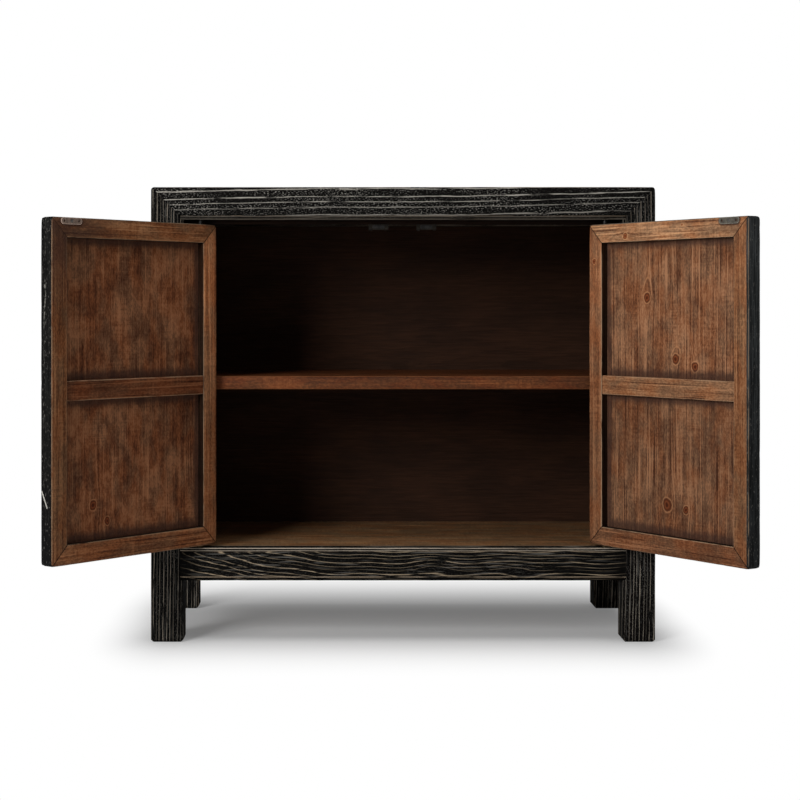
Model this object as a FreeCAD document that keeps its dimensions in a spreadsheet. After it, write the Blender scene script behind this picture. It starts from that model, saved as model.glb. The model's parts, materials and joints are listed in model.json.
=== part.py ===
"""A two-door cabinet on four legs, framed in mitred posts and rails, with pivot-hung panelled doors.

Lengths are in millimetres and angles in degrees. X runs to the right along the front, Y to the back
and Z up. Carcass places are measured from the outer left face, the front face and the floor, and every
carcass piece is then set over so that the origin is under the middle of the front left post. Door places are
measured from the hinge edge, the front face and the bottom edge, about the pivot that carries the door.
"""
import FreeCAD, Part
import os
import re
import Sketcher

# Driving dimensions
SIZES = {
    # carcass frame
    "overall_width": 960,
    "overall_depth": 440,
    "leg_clearance": 117,
    "post_width": 56,
    "rail_depth": 48,
    "arris_radius": 2.5,
    "foot_chamfer": 5,
    "bead_width": 6,
    "bead_setback": 2,
    "bead_radius": 1,
    "tenon_length": 18,
    "tenon_thickness": 14,
    "tenon_shoulder": 9,
    "fit_clearance": 0.1,
    "board_gap": 0.3,
    # case panels and boards
    "compartment_height": 300,
    "shelf_thickness": 25,
    "shelf_setback": 46,
    "shelf_radius": 2,
    "case_panel_thickness": 10,
    "case_panel_recess": 8,
    "groove_depth": 9,
    "groove_slack": 0.5,
    "top_panel_thickness": 14,
    "top_panel_drop": 1,
    "top_tongue_thickness": 7,
    "top_batten_width": 40,
    "top_batten_height": 24,
    "top_batten_spacing": 320,
    "floor_thickness": 15,
    "bearer_width": 40,
    "bearer_height": 20,
    "cleat_thickness": 18,
    "cleat_height": 24,
    # lining of the doorway
    "lining_thickness": 6,
    "lining_depth": 33,
    "lining_setback": 2,
    "lining_radius": 1,
    # doors
    "door_thickness": 30,
    "door_hinge_gap": 4,
    "door_meeting_gap": 2,
    "door_top_gap": 9,
    "door_bottom_gap": 5,
    "door_edge_radius": 3,
    "door_corner_radius": 7,
    "door_inner_radius": 1.5,
    "left_open_angle": 130,
    "right_open_angle": 123.1,
    "stile_width": 36,
    "door_panel_thickness": 11,
    "door_panel_recess": 4,
    "middle_rail_height": 36,
    "middle_rail_drop": 2,
    "middle_tenon_length": 10,
    "middle_tenon_thickness": 6,
    "middle_tenon_height": 24,
    # pivots
    "pivot_inset": 28,
    "pivot_depth": 14,
    "pin_radius": 4,
    "pin_clearance": 0.05,
    "pin_depth": 22,
    "pin_reach": 16,
    "pin_chamfer": 1,
    "bush_wall": 2,
    "bush_length": 24,
    "bore_overrun": 2,
    "collar_wall": 4,
    "seat_clearance": 0.2,
    # door knobs
    "knob_radius": 9,
    "knob_length": 6,
    "knob_round": 3,
    "knob_neck_radius": 5,
    "knob_neck_length": 4,
    "knob_inset": 22,
    "knob_rise": 16,
    "shank_radius": 2.5,
    "shank_length": 16,
    # magnetic catches and their strike plates
    "catch_offset": 46,
    "catch_length": 38,
    "catch_height": 10.5,
    "catch_depth": 13,
    "catch_radius": 3,
    "catch_rail_depth": 20,
    "catch_rail_drop": 7.5,
    "magnet_length": 22,
    "magnet_height": 6,
    "magnet_depth": 9,
    "magnet_proud": 0.7,
    "strike_gap": 0.3,
    "plate_length": 48,
    "plate_height": 12,
    "plate_thickness": 1.5,
    "plate_drop": 0.7,
    "plate_hole_radius": 2.2,
    "plate_hole_pitch": 17,
    "screw_radius": 1.6,
    "screw_length": 12,
    "screw_head_radius": 3.2,
    "screw_head_height": 1.4,
    "sink_clearance": 0.1,
    "screw_pitch": 15,
}

# Places and sizes worked out from the driving dimensions
DERIVED = {
    "origin_shift": "post_width / 2",
    "inner_right": "overall_width - post_width",
    "inner_back": "overall_depth - post_width",
    "rail_top": "leg_clearance + post_width",
    "leg_width": "post_width + bead_width",
    "floor_level": "rail_top + lining_thickness",
    "floor_underside": "floor_level - floor_thickness",
    "shelf_underside": "floor_level + compartment_height",
    "shelf_top": "shelf_underside + shelf_thickness",
    "head_level": "shelf_top + compartment_height",
    "top_rail_underside": "head_level + lining_thickness",
    "overall_height": "top_rail_underside + post_width",
    "tongue_length": "groove_depth - groove_slack",
    "side_panel_face": "case_panel_recess + case_panel_thickness",
    "back_panel_face": "overall_depth - side_panel_face",
    "top_panel_underside": "overall_height - top_panel_drop - top_panel_thickness",
    "top_tongue_top": "top_panel_underside + top_tongue_thickness",
    "lining_back": "lining_setback + lining_depth",
    "tenon_front": "(post_width - tenon_thickness) / 2",
    "tenon_back": "(post_width + tenon_thickness) / 2",
    "tenon_bottom": "leg_clearance + tenon_shoulder",
    "tenon_top": "floor_underside - tenon_shoulder",
    "pivot_place": "post_width + lining_thickness + door_hinge_gap + pivot_inset",
    "door_width": "overall_width / 2 - door_meeting_gap / 2 - post_width - lining_thickness - door_hinge_gap",
    "door_bottom": "floor_level + door_bottom_gap",
    "door_height": "head_level - door_top_gap - door_bottom",
    "door_panel_back": "door_panel_recess + door_panel_thickness",
    "bush_radius": "pin_radius + pin_clearance + bush_wall",
    "catch_rail_underside": "head_level - catch_rail_drop",
    "catch_front": "door_thickness + plate_thickness + strike_gap + magnet_proud",
    "catch_place": "overall_width / 2 - catch_offset",
    "catch_underside": "catch_rail_underside - catch_height",
    "catch_middle": "catch_underside + catch_height / 2",
    "catch_screw_depth": "catch_front + catch_depth - screw_head_radius",
    "plate_middle": "door_height - plate_drop - plate_height / 2",
    "plate_place": "door_width + door_meeting_gap / 2 - catch_offset",
    "knob_place": "door_width - knob_inset",
    "knob_height": "door_height / 2 + knob_rise",
    "middle_rail_bottom": "(door_height - middle_rail_height) / 2",
    "middle_rail_top": "middle_rail_bottom + middle_rail_height",
    "middle_rail_face": "door_thickness - middle_rail_drop",
    "middle_tenon_bottom": "(door_height - middle_tenon_height) / 2",
    "middle_tenon_top": "middle_tenon_bottom + middle_tenon_height",
    "middle_tenon_front": "(door_panel_back + middle_rail_face - middle_tenon_thickness) / 2",
    "middle_tenon_back": "middle_tenon_front + middle_tenon_thickness",
}

SIDES = ("left", "right")
FULL_TURN = 360
AXES = {
    "X": FreeCAD.Vector(1, 0, 0),
    "Y": FreeCAD.Vector(0, 1, 0),
    "Z": FreeCAD.Vector(0, 0, 1),
}

doc = FreeCAD.newDocument("cabinet")
sheet = doc.addObject("Spreadsheet::Sheet", "sizes")
for row, (alias, size) in enumerate(SIZES.items(), 1):
    sheet.set(f"A{row}", alias)
    sheet.set(f"B{row}", str(size))
    sheet.setAlias(f"B{row}", alias)
doc.recompute()

sub_parts = []


# Expressions

def bind(expression):
    """The expression with derived words opened up and driving words pointed at their cells."""
    def point(match):
        word = match.group()
        if word in DERIVED:
            return f"({bind(DERIVED[word])})"
        return f"sizes.{word}" if word in SIZES else word
    return re.sub(r"[a-z][a-z_]*", point, expression)


def value(expression):
    """The expression's value, from the sheet."""
    return float(sheet.evalExpression(bind(expression)))


def across(side):
    """Places measured from the left face, or mirrored for the right half of the cabinet."""
    if side == "left":
        return lambda place: place
    return lambda place: f"overall_width - ({place})"


def inward(end):
    """Places measured from the front face, or mirrored for the rear of the cabinet."""
    if end == "front":
        return lambda place: place
    return lambda place: f"overall_depth - ({place})"


# Features

def new_body(label):
    """A body that becomes one sub-part."""
    body = doc.addObject("PartDesign::Body", label)
    body.Label = label
    sub_parts.append(body)
    return body


def start_sketch(body, name, plane, offset):
    """An empty sketch on one of the body's origin planes, moved by an offset in that plane's own axes."""
    sketch = body.newObject("Sketcher::SketchObject", name + "_sketch")
    support = next(each for each in body.Origin.OriginFeatures if each.Role == plane)
    sketch.AttachmentSupport = (support, "")
    sketch.MapMode = "FlatFace"
    for axis, place in zip("xyz", offset):
        sketch.setExpression(f"AttachmentOffset.Base.{axis}", bind(place))
    return sketch


def bind_point(sketch, edge, point, places):
    """Ties one point of a sketch edge to its two places."""
    for kind, place in zip(("DistanceX", "DistanceY"), places):
        index = sketch.addConstraint(Sketcher.Constraint(kind, edge, point, value(place)))
        sketch.setExpression(f"Constraints[{index}]", bind(place))


def outline(body, name, plane, loops, offset=("0", "0", "0")):
    """A sketch of closed straight-edged loops, every corner tied to the sheet."""
    sketch = start_sketch(body, name, plane, offset)
    for loop in loops:
        first = sketch.GeometryCount
        corners = [FreeCAD.Vector(value(x), value(y), 0) for x, y in loop]
        for start, end in zip(corners, corners[1:] + corners[:1]):
            sketch.addGeometry(Part.LineSegment(start, end), False)
        for count, places in enumerate(loop):
            following = first + (count + 1) % len(loop)
            sketch.addConstraint(Sketcher.Constraint("Coincident", first + count, 2, following, 1))
            bind_point(sketch, first + count, 1, places)
    return sketch


def circles(body, name, plane, rounds, offset=("0", "0", "0")):
    """A sketch of circles, each given by the two places of its centre and its radius."""
    sketch = start_sketch(body, name, plane, offset)
    for x, y, radius in rounds:
        centre = FreeCAD.Vector(value(x), value(y), 0)
        edge = sketch.addGeometry(Part.Circle(centre, AXES["Z"], value(radius)), False)
        bind_point(sketch, edge, 3, (x, y))
        index = sketch.addConstraint(Sketcher.Constraint("Radius", edge, value(radius)))
        sketch.setExpression(f"Constraints[{index}]", bind(radius))
    return sketch


def rectangle(across_places, up_places):
    """The four corners between two pairs of places."""
    (left, right), (bottom, top) = across_places, up_places
    return [(left, bottom), (right, bottom), (right, top), (left, top)]


def extrude(body, kind, name, sketch, length, reverse=False):
    """A pad or a pocket of a sketch, with its length tied to the sheet."""
    feature = body.newObject(f"PartDesign::{kind}", name)
    feature.Profile = sketch
    feature.setExpression("Length", bind(length))
    feature.Reversed = reverse
    return feature


def block(body, name, xs, ys, zs):
    """Adds the block between three pairs of places."""
    sketch = outline(body, name, "XY_Plane", [rectangle(xs, ys)], ("0", "0", zs[0]))
    return extrude(body, "Pad", name, sketch, f"({zs[1]}) - ({zs[0]})")


def cut_block(body, name, xs, ys, zs):
    """Takes away the block between three pairs of places."""
    sketch = outline(body, name, "XY_Plane", [rectangle(xs, ys)], ("0", "0", zs[1]))
    return extrude(body, "Pocket", name, sketch, f"({zs[1]}) - ({zs[0]})")


def cut_through(body, name, plane, loops):
    """Takes away straight-edged loops right through the body, square to one of its origin planes."""
    pocket = body.newObject("PartDesign::Pocket", name)
    pocket.Profile = outline(body, name, plane, loops)
    pocket.SideType = "Symmetric"
    pocket.Type = "ThroughAll"
    return pocket


def bore(body, name, rounds, zs):
    """Takes away upright round holes between two levels."""
    sketch = circles(body, name, "XY_Plane", rounds, ("0", "0", zs[1]))
    return extrude(body, "Pocket", name, sketch, f"({zs[1]}) - ({zs[0]})")


def board(body, name, corners, ys):
    """Adds a board whose outline faces the front, between two depths."""
    sketch = outline(body, name, "XZ_Plane", [corners], ("0", "0", f"-({ys[0]})"))
    return extrude(body, "Pad", name, sketch, f"({ys[1]}) - ({ys[0]})", reverse=True)


def drill(body, name, rounds, ys):
    """Takes away round holes that run from front to back, between two depths."""
    sketch = circles(body, name, "XZ_Plane", rounds, ("0", "0", f"-({ys[0]})"))
    return extrude(body, "Pocket", name, sketch, f"({ys[1]}) - ({ys[0]})")


def turn(body, kind, name, profile, offset):
    """Adds or takes away a turned form: a level profile of radii and depths, spun about its own Y axis."""
    sketch = outline(body, name, "XY_Plane", [profile], offset)
    feature = body.newObject(f"PartDesign::{kind}", name)
    feature.Profile = sketch
    feature.ReferenceAxis = (sketch, ["V_Axis"])
    feature.Angle = FULL_TURN
    return feature


def dress(body, kind, size, size_name, picks):
    """Rounds or chamfers the edges of the body's last feature that meet every pick."""
    doc.recompute()
    base = body.Tip
    edges = enumerate(base.Shape.Edges, 1)
    names = [f"Edge{count}" for count, edge in edges if all(pick(edge) for pick in picks)]
    feature = body.newObject(f"PartDesign::{kind}", kind.lower())
    feature.Base = (base, names)
    feature.setExpression(size_name, bind(size))
    return feature


def round_edges(body, radius, *picks):
    """Rounds the picked edges."""
    return dress(body, "Fillet", radius, "Radius", picks)


def chamfer_edges(body, size, *picks):
    """Chamfers the picked edges."""
    return dress(body, "Chamfer", size, "Size", picks)


def along(axis):
    """Picks straight edges that run along an axis."""
    def pick(edge):
        straight = edge.Curve.TypeId == "Part::GeomLine"
        return straight and AXES[axis].isParallel(edge.Curve.Direction, Part.Precision.approximation())
    return pick


def at(axis, place):
    """Picks edges that lie at one place on an axis."""
    def pick(edge):
        offsets = [vertex.Point.dot(AXES[axis]) - value(place) for vertex in edge.Vertexes]
        return all(abs(offset) < Part.Precision.approximation() for offset in offsets)
    return pick


def any_of(*picks):
    """Picks edges that meet at least one of the picks."""
    return lambda edge: any(pick(edge) for pick in picks)


def set_carcass(piece):
    """Moves a carcass piece so that the origin is under the middle of the front left post."""
    for axis in "xy":
        piece.setExpression(f"Placement.Base.{axis}", bind("-origin_shift"))


# Carcass frame

def post(side, end):
    """A corner post with a three-way mitre at the top and a wider, beaded leg that carries the rails."""
    x, y = across(side), inward(end)
    body = new_body(f"{end}_{side}_post")
    block(body, "bar", (x("0"), x("post_width")), (y("0"), y("post_width")), ("0", "overall_height"))
    round_edges(body, "arris_radius", along("Z"))
    block(body, "leg", (x("bead_setback"), x("leg_width")), (y("bead_setback"), y("leg_width")),
          ("0", "leg_clearance"))
    inner_faces = any_of(at("X", x("leg_width")), at("Y", y("leg_width")))
    round_edges(body, "bead_radius", along("Z"), inner_faces)
    chamfers = [
        [("0", "0"), ("foot_chamfer", "0"), ("0", "foot_chamfer")],
        [("leg_width", "0"), ("leg_width - foot_chamfer", "0"), ("leg_width", "foot_chamfer")],
    ]
    cut_through(body, "side_foot_chamfers", "XZ_Plane", [[(x(u), z) for u, z in loop] for loop in chamfers])
    cut_through(body, "end_foot_chamfers", "YZ_Plane", [[(y(v), z) for v, z in loop] for loop in chamfers])
    shoulder = [("0", "overall_height"), ("post_width", "overall_height"),
                ("post_width", "top_rail_underside")]
    cut_through(body, "front_mitre", "XZ_Plane", [[(x(u), z) for u, z in shoulder]])
    cut_through(body, "side_mitre", "YZ_Plane", [[(y(v), z) for v, z in shoulder]])
    tenon_end = "post_width - tenon_length - fit_clearance"
    tenon_width = ("tenon_front - fit_clearance", "tenon_back + fit_clearance")
    levels = ("tenon_bottom - fit_clearance", "tenon_top + fit_clearance")
    cut_block(body, "front_mortise", (x(tenon_end), x("post_width")),
              (y(tenon_width[0]), y(tenon_width[1])), levels)
    cut_block(body, "side_mortise", (x(tenon_width[0]), x(tenon_width[1])),
              (y(tenon_end), y("post_width")), levels)
    groove = ("case_panel_recess - fit_clearance", "side_panel_face + fit_clearance")
    run = ("rail_top - groove_depth", "top_rail_underside")
    reach = ("post_width - groove_depth", "post_width")
    cut_block(body, "side_groove", (x(groove[0]), x(groove[1])), (y(reach[0]), y(reach[1])), run)
    if end == "rear":
        cut_block(body, "back_groove", (x(reach[0]), x(reach[1])), (y(groove[0]), y(groove[1])), run)
    set_carcass(body)


def top_long_rail(end):
    """The front or rear rail of the top frame, mitred to the posts and to the side rails."""
    y = inward(end)
    body = new_body(f"top_{end}_rail")
    levels = ("top_rail_underside", "overall_height")
    block(body, "bar", ("0", "overall_width"), (y("0"), y("post_width")), levels)
    round_edges(body, "arris_radius", along("X"))
    post_cut = [("0", "overall_height"), ("0", "top_rail_underside"), ("post_width", "top_rail_underside")]
    rail_cut = [("0", "0"), ("0", "post_width"), ("post_width", "post_width")]
    cut_through(body, "post_mitres", "XZ_Plane",
                [[(across(side)(u), z) for u, z in post_cut] for side in SIDES])
    cut_through(body, "rail_mitres", "XY_Plane",
                [[(across(side)(u), y(v)) for u, v in rail_cut] for side in SIDES])
    cut_block(body, "top_groove", ("post_width - groove_depth", "inner_right + groove_depth"),
              (y("post_width - groove_depth"), y("post_width")),
              ("top_panel_underside - fit_clearance", "top_tongue_top + fit_clearance"))
    if end == "rear":
        cut_block(body, "back_groove", ("post_width", "inner_right"),
                  (y("case_panel_recess - fit_clearance"), y("side_panel_face + fit_clearance")),
                  ("top_rail_underside", "top_rail_underside + groove_depth"))
    else:
        bore(body, "bush_holes",
             [(across(side)("pivot_place"), "pivot_depth", "bush_radius + pin_clearance") for side in SIDES],
             ("top_rail_underside", "head_level + bush_length + bore_overrun"))
    set_carcass(body)


def top_side_rail(side):
    """A side rail of the top frame, mitred to the posts and to the long rails."""
    x = across(side)
    body = new_body(f"top_{side}_rail")
    levels = ("top_rail_underside", "overall_height")
    block(body, "bar", (x("0"), x("post_width")), ("0", "overall_depth"), levels)
    round_edges(body, "arris_radius", along("Y"))
    post_cut = [("0", "overall_height"), ("0", "top_rail_underside"), ("post_width", "top_rail_underside")]
    rail_cut = [("0", "0"), ("post_width", "0"), ("post_width", "post_width")]
    ends = ("front", "rear")
    cut_through(body, "post_mitres", "YZ_Plane",
                [[(inward(end)(v), z) for v, z in post_cut] for end in ends])
    cut_through(body, "rail_mitres", "XY_Plane",
                [[(x(u), inward(end)(v)) for u, v in rail_cut] for end in ends])
    cut_block(body, "top_groove", (x("post_width - groove_depth"), x("post_width")),
              ("post_width - groove_depth", "inner_back + groove_depth"),
              ("top_panel_underside - fit_clearance", "top_tongue_top + fit_clearance"))
    cut_block(body, "side_groove",
              (x("case_panel_recess - fit_clearance"), x("side_panel_face + fit_clearance")),
              ("post_width", "inner_back"), ("top_rail_underside", "top_rail_underside + groove_depth"))
    set_carcass(body)


def bottom_long_rail(end):
    """The front or rear bottom rail, beaded, tenoned into the posts and rebated for the floor."""
    y = inward(end)
    body = new_body(f"bottom_{end}_rail")
    levels = ("leg_clearance", "rail_top")
    block(body, "bar", ("post_width", "inner_right"), (y("0"), y("rail_depth")), levels)
    round_edges(body, "arris_radius", along("X"))
    cut_block(body, "bead", ("post_width", "inner_right"), (y("0"), y("bead_setback")),
              ("leg_clearance", "leg_clearance + bead_width"))
    for side in SIDES:
        x = across(side)
        block(body, f"{side}_tenon", (x("post_width - tenon_length"), x("post_width")),
              (y("tenon_front"), y("tenon_back")), ("tenon_bottom", "tenon_top"))
    rebate = "lining_back" if end == "front" else "side_panel_face"
    cut_block(body, "floor_rebate", ("post_width", "inner_right"), (y(rebate), y("rail_depth")),
              ("floor_underside", "rail_top"))
    if end == "rear":
        cut_block(body, "back_groove", ("post_width", "inner_right"),
                  (y("case_panel_recess - fit_clearance"), y("side_panel_face + fit_clearance")),
                  ("rail_top - groove_depth", "rail_top"))
    else:
        bore(body, "bush_holes",
             [(across(side)("pivot_place"), "pivot_depth", "bush_radius + pin_clearance") for side in SIDES],
             ("floor_level - bush_length - bore_overrun", "rail_top"))
    set_carcass(body)


def bottom_side_rail(side):
    """A beaded side rail, tenoned into the posts, grooved for the side panel and rebated for the floor."""
    x = across(side)
    body = new_body(f"bottom_{side}_rail")
    levels = ("leg_clearance", "rail_top")
    block(body, "bar", (x("0"), x("rail_depth")), ("post_width", "inner_back"), levels)
    round_edges(body, "arris_radius", along("Y"))
    cut_block(body, "bead", (x("0"), x("bead_setback")), ("post_width", "inner_back"),
              ("leg_clearance", "leg_clearance + bead_width"))
    for end in ("front", "rear"):
        y = inward(end)
        block(body, f"{end}_tenon", (x("tenon_front"), x("tenon_back")),
              (y("post_width - tenon_length"), y("post_width")), ("tenon_bottom", "tenon_top"))
    cut_block(body, "floor_rebate", (x("side_panel_face"), x("rail_depth")), ("post_width", "inner_back"),
              ("floor_underside", "rail_top"))
    cut_block(body, "side_groove",
              (x("case_panel_recess - fit_clearance"), x("side_panel_face + fit_clearance")),
              ("post_width", "inner_back"), ("rail_top - groove_depth", "rail_top"))
    set_carcass(body)


# Case panels and boards

def top_panel():
    """The top board, floating in the grooves of the top frame by a tongue all round."""
    body = new_body("top_panel")
    block(body, "tongue", ("post_width - tongue_length", "inner_right + tongue_length"),
          ("post_width - tongue_length", "inner_back + tongue_length"),
          ("top_panel_underside", "top_tongue_top"))
    block(body, "field", ("post_width + board_gap", "inner_right - board_gap"),
          ("post_width + board_gap", "inner_back - board_gap"),
          ("top_tongue_top", "overall_height - top_panel_drop"))
    set_carcass(body)


def top_batten(side):
    """A cross batten under the top board, from the front rail to the rear rail."""
    x = across(side)
    middle = "(overall_width - top_batten_spacing) / 2"
    body = new_body(f"{side}_top_batten")
    block(body, "bar",
          (x(f"{middle} - top_batten_width / 2"), x(f"{middle} + top_batten_width / 2")),
          ("post_width", "inner_back"), ("top_panel_underside - top_batten_height", "top_panel_underside"))
    set_carcass(body)


def side_panel(side):
    """A side board, held in the grooves of the posts and the side rails."""
    x = across(side)
    body = new_body(f"{side}_side_panel")
    block(body, "field", (x("case_panel_recess"), x("side_panel_face")),
          ("post_width - tongue_length", "inner_back + tongue_length"),
          ("rail_top - tongue_length", "top_rail_underside"))
    block(body, "top_tongue", (x("case_panel_recess"), x("side_panel_face")), ("post_width", "inner_back"),
          ("top_rail_underside", "top_rail_underside + tongue_length"))
    set_carcass(body)


def back_panel():
    """The back board, held in the grooves of the rear posts and the rear rails."""
    body = new_body("back_panel")
    depths = ("back_panel_face", "back_panel_face + case_panel_thickness")
    block(body, "field", ("post_width - tongue_length", "inner_right + tongue_length"), depths,
          ("rail_top - tongue_length", "top_rail_underside"))
    block(body, "top_tongue", ("post_width", "inner_right"), depths,
          ("top_rail_underside", "top_rail_underside + tongue_length"))
    set_carcass(body)


def notched_board(label, front, levels):
    """A board that fills the case from a front edge to the back, notched round the four posts."""
    corners = [
        ("post_width + board_gap", front),
        ("post_width + board_gap", "post_width + board_gap"),
        ("side_panel_face + board_gap", "post_width + board_gap"),
        ("side_panel_face + board_gap", "inner_back - board_gap"),
        ("post_width + board_gap", "inner_back - board_gap"),
        ("post_width + board_gap", "back_panel_face - board_gap"),
    ]
    mirrored = [(across("right")(x), y) for x, y in reversed(corners)]
    body = new_body(label)
    sketch = outline(body, "board", "XY_Plane", [corners + mirrored], ("0", "0", levels[0]))
    extrude(body, "Pad", "board", sketch, f"({levels[1]}) - ({levels[0]})")
    set_carcass(body)
    return body


def floor_bearer():
    """A bearer under the middle of the floor, from the front rail to the rear rail."""
    body = new_body("floor_bearer")
    block(body, "bar", ("(overall_width - bearer_width) / 2", "(overall_width + bearer_width) / 2"),
          ("rail_depth", "overall_depth - rail_depth"),
          ("floor_underside - bearer_height", "floor_underside"))
    set_carcass(body)


def side_cleat(side):
    """A strip on the side panel that carries the end of the shelf."""
    x = across(side)
    body = new_body(f"{side}_shelf_cleat")
    block(body, "strip", (x("side_panel_face"), x("side_panel_face + cleat_thickness")),
          ("post_width", "inner_back"), ("shelf_underside - cleat_height", "shelf_underside"))
    set_carcass(body)


def back_cleat():
    """A strip on the back panel that carries the rear edge of the shelf."""
    body = new_body("back_shelf_cleat")
    block(body, "strip", ("post_width", "inner_right"),
          ("back_panel_face - cleat_thickness", "back_panel_face"),
          ("shelf_underside - cleat_height", "shelf_underside"))
    set_carcass(body)


# Lining of the doorway

def long_lining(label, levels):
    """The lining strip over or under the doors, bored for the pivot bushes."""
    body = new_body(label)
    block(body, "strip", ("post_width", "inner_right"), ("lining_setback", "lining_back"), levels)
    round_edges(body, "lining_radius", along("X"), at("Y", "lining_setback"))
    bore(body, "bush_holes",
         [(across(side)("pivot_place"), "pivot_depth", "bush_radius + pin_clearance") for side in SIDES],
         levels)
    set_carcass(body)


def jamb_lining(side):
    """The upright lining strip beside a door."""
    x = across(side)
    body = new_body(f"{side}_jamb_lining")
    block(body, "strip", (x("post_width"), x("post_width + lining_thickness")),
          ("lining_setback", "lining_back"), ("floor_level", "head_level"))
    round_edges(body, "lining_radius", along("Z"), at("Y", "lining_setback"))
    set_carcass(body)


# Pivots and catches in the carcass

def ring(name, side, radii, levels):
    """An upright ring about a door's pivot."""
    place = (f"{across(side)('pivot_place')} - origin_shift", "pivot_depth - origin_shift", levels[0])
    tubes = []
    for radius in radii:
        tube = doc.addObject("Part::Cylinder", f"{side}_{name}")
        tube.setExpression("Radius", bind(radius))
        tube.setExpression("Height", bind(f"({levels[1]}) - ({levels[0]})"))
        for axis, where in zip("xyz", place):
            tube.setExpression(f"Placement.Base.{axis}", bind(where))
        tubes.append(tube)
    cut = doc.addObject("Part::Cut", f"{side}_{name}_ring")
    cut.Base, cut.Tool = tubes
    return cut


def group(label, pieces):
    """Several like pieces that share one node as separate solids."""
    compound = doc.addObject("Part::Compound", label)
    compound.Label = label
    compound.Links = pieces
    sub_parts.append(compound)


def pivot_bushes():
    """The bushes that the pivot pins turn in, over and under each door."""
    radii = ("bush_radius", "pin_radius + pin_clearance")
    levels = {
        "upper_bush": ("head_level", "head_level + bush_length"),
        "lower_bush": ("floor_level - bush_length", "floor_level"),
    }
    group("pivot_bushes", [ring(name, side, radii, zs) for name, zs in levels.items() for side in SIDES])


def pivot_collars():
    """The collars on the sill that carry the doors' weight."""
    radii = ("pin_radius + pin_clearance + collar_wall", "pin_radius + pin_clearance")
    levels = ("floor_level", "door_bottom - seat_clearance")
    group("pivot_collars", [ring("collar", side, radii, levels) for side in SIDES])


def catch_screw_places():
    """Where the catches are screwed up into their rail."""
    middles = [across(side)("catch_place") for side in SIDES]
    return [(f"{middle} {sign} screw_pitch", "catch_screw_depth") for middle in middles for sign in "-+"]


def catch_rail():
    """The strip behind the head lining that the magnetic catches are screwed to."""
    body = new_body("catch_rail")
    block(body, "strip", ("post_width", "inner_right"), ("lining_back", "lining_back + catch_rail_depth"),
          ("catch_rail_underside", "top_rail_underside"))
    bore(body, "screw_holes", [(x, y, "screw_radius") for x, y in catch_screw_places()],
         ("catch_rail_underside", "catch_underside + screw_length + bore_overrun"))
    set_carcass(body)


def catch_housing(side):
    """The block of a magnetic catch, hollowed for its magnet."""
    x = across(side)
    body = new_body(f"{side}_catch_housing")
    block(body, "block", (x("catch_place - catch_length / 2"), x("catch_place + catch_length / 2")),
          ("catch_front", "catch_front + catch_depth"), ("catch_underside", "catch_rail_underside"))
    round_edges(body, "catch_radius", along("Z"), at("Y", "catch_front + catch_depth"))
    reach, rise = "magnet_length / 2 + fit_clearance", "magnet_height / 2 + fit_clearance"
    cut_block(body, "magnet_seat", (x(f"catch_place - ({reach})"), x(f"catch_place + {reach}")),
              ("catch_front", "catch_front + magnet_depth - magnet_proud"),
              (f"catch_middle - ({rise})", f"catch_middle + {rise}"))
    places = [(x(f"catch_place {sign} screw_pitch"), "catch_screw_depth", "screw_radius") for sign in "-+"]
    bore(body, "screw_holes", places, ("catch_underside", "catch_rail_underside"))
    set_carcass(body)


def catch_magnet(side):
    """The magnet of a catch, standing a little proud of its housing."""
    x = across(side)
    body = new_body(f"{side}_catch_magnet")
    block(body, "magnet", (x("catch_place - magnet_length / 2"), x("catch_place + magnet_length / 2")),
          ("catch_front - magnet_proud", "catch_front - magnet_proud + magnet_depth"),
          ("catch_middle - magnet_height / 2", "catch_middle + magnet_height / 2"))
    set_carcass(body)


def catch_screws():
    """The screws that hold both catches up to their rail."""
    screws = []
    for x, y in catch_screw_places():
        shank = doc.addObject("Part::Cylinder", "catch_screw_shank")
        head = doc.addObject("Part::Cone", "catch_screw_head")
        shank.setExpression("Radius", bind("screw_radius - fit_clearance"))
        shank.setExpression("Height", bind("screw_length"))
        head.setExpression("Radius1", bind("screw_head_radius"))
        head.setExpression("Radius2", bind("screw_radius"))
        head.setExpression("Height", bind("screw_head_height"))
        for piece, level in ((shank, "catch_underside"), (head, "catch_underside - screw_head_height")):
            places = (f"{x} - origin_shift", f"{y} - origin_shift", level)
            for axis, place in zip("xyz", places):
                piece.setExpression(f"Placement.Base.{axis}", bind(place))
        screw = doc.addObject("Part::Fuse", "catch_screw")
        screw.Base = shank
        screw.Tool = head
        screws.append(screw)
    group("catch_screws", screws)


# Doors

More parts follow.
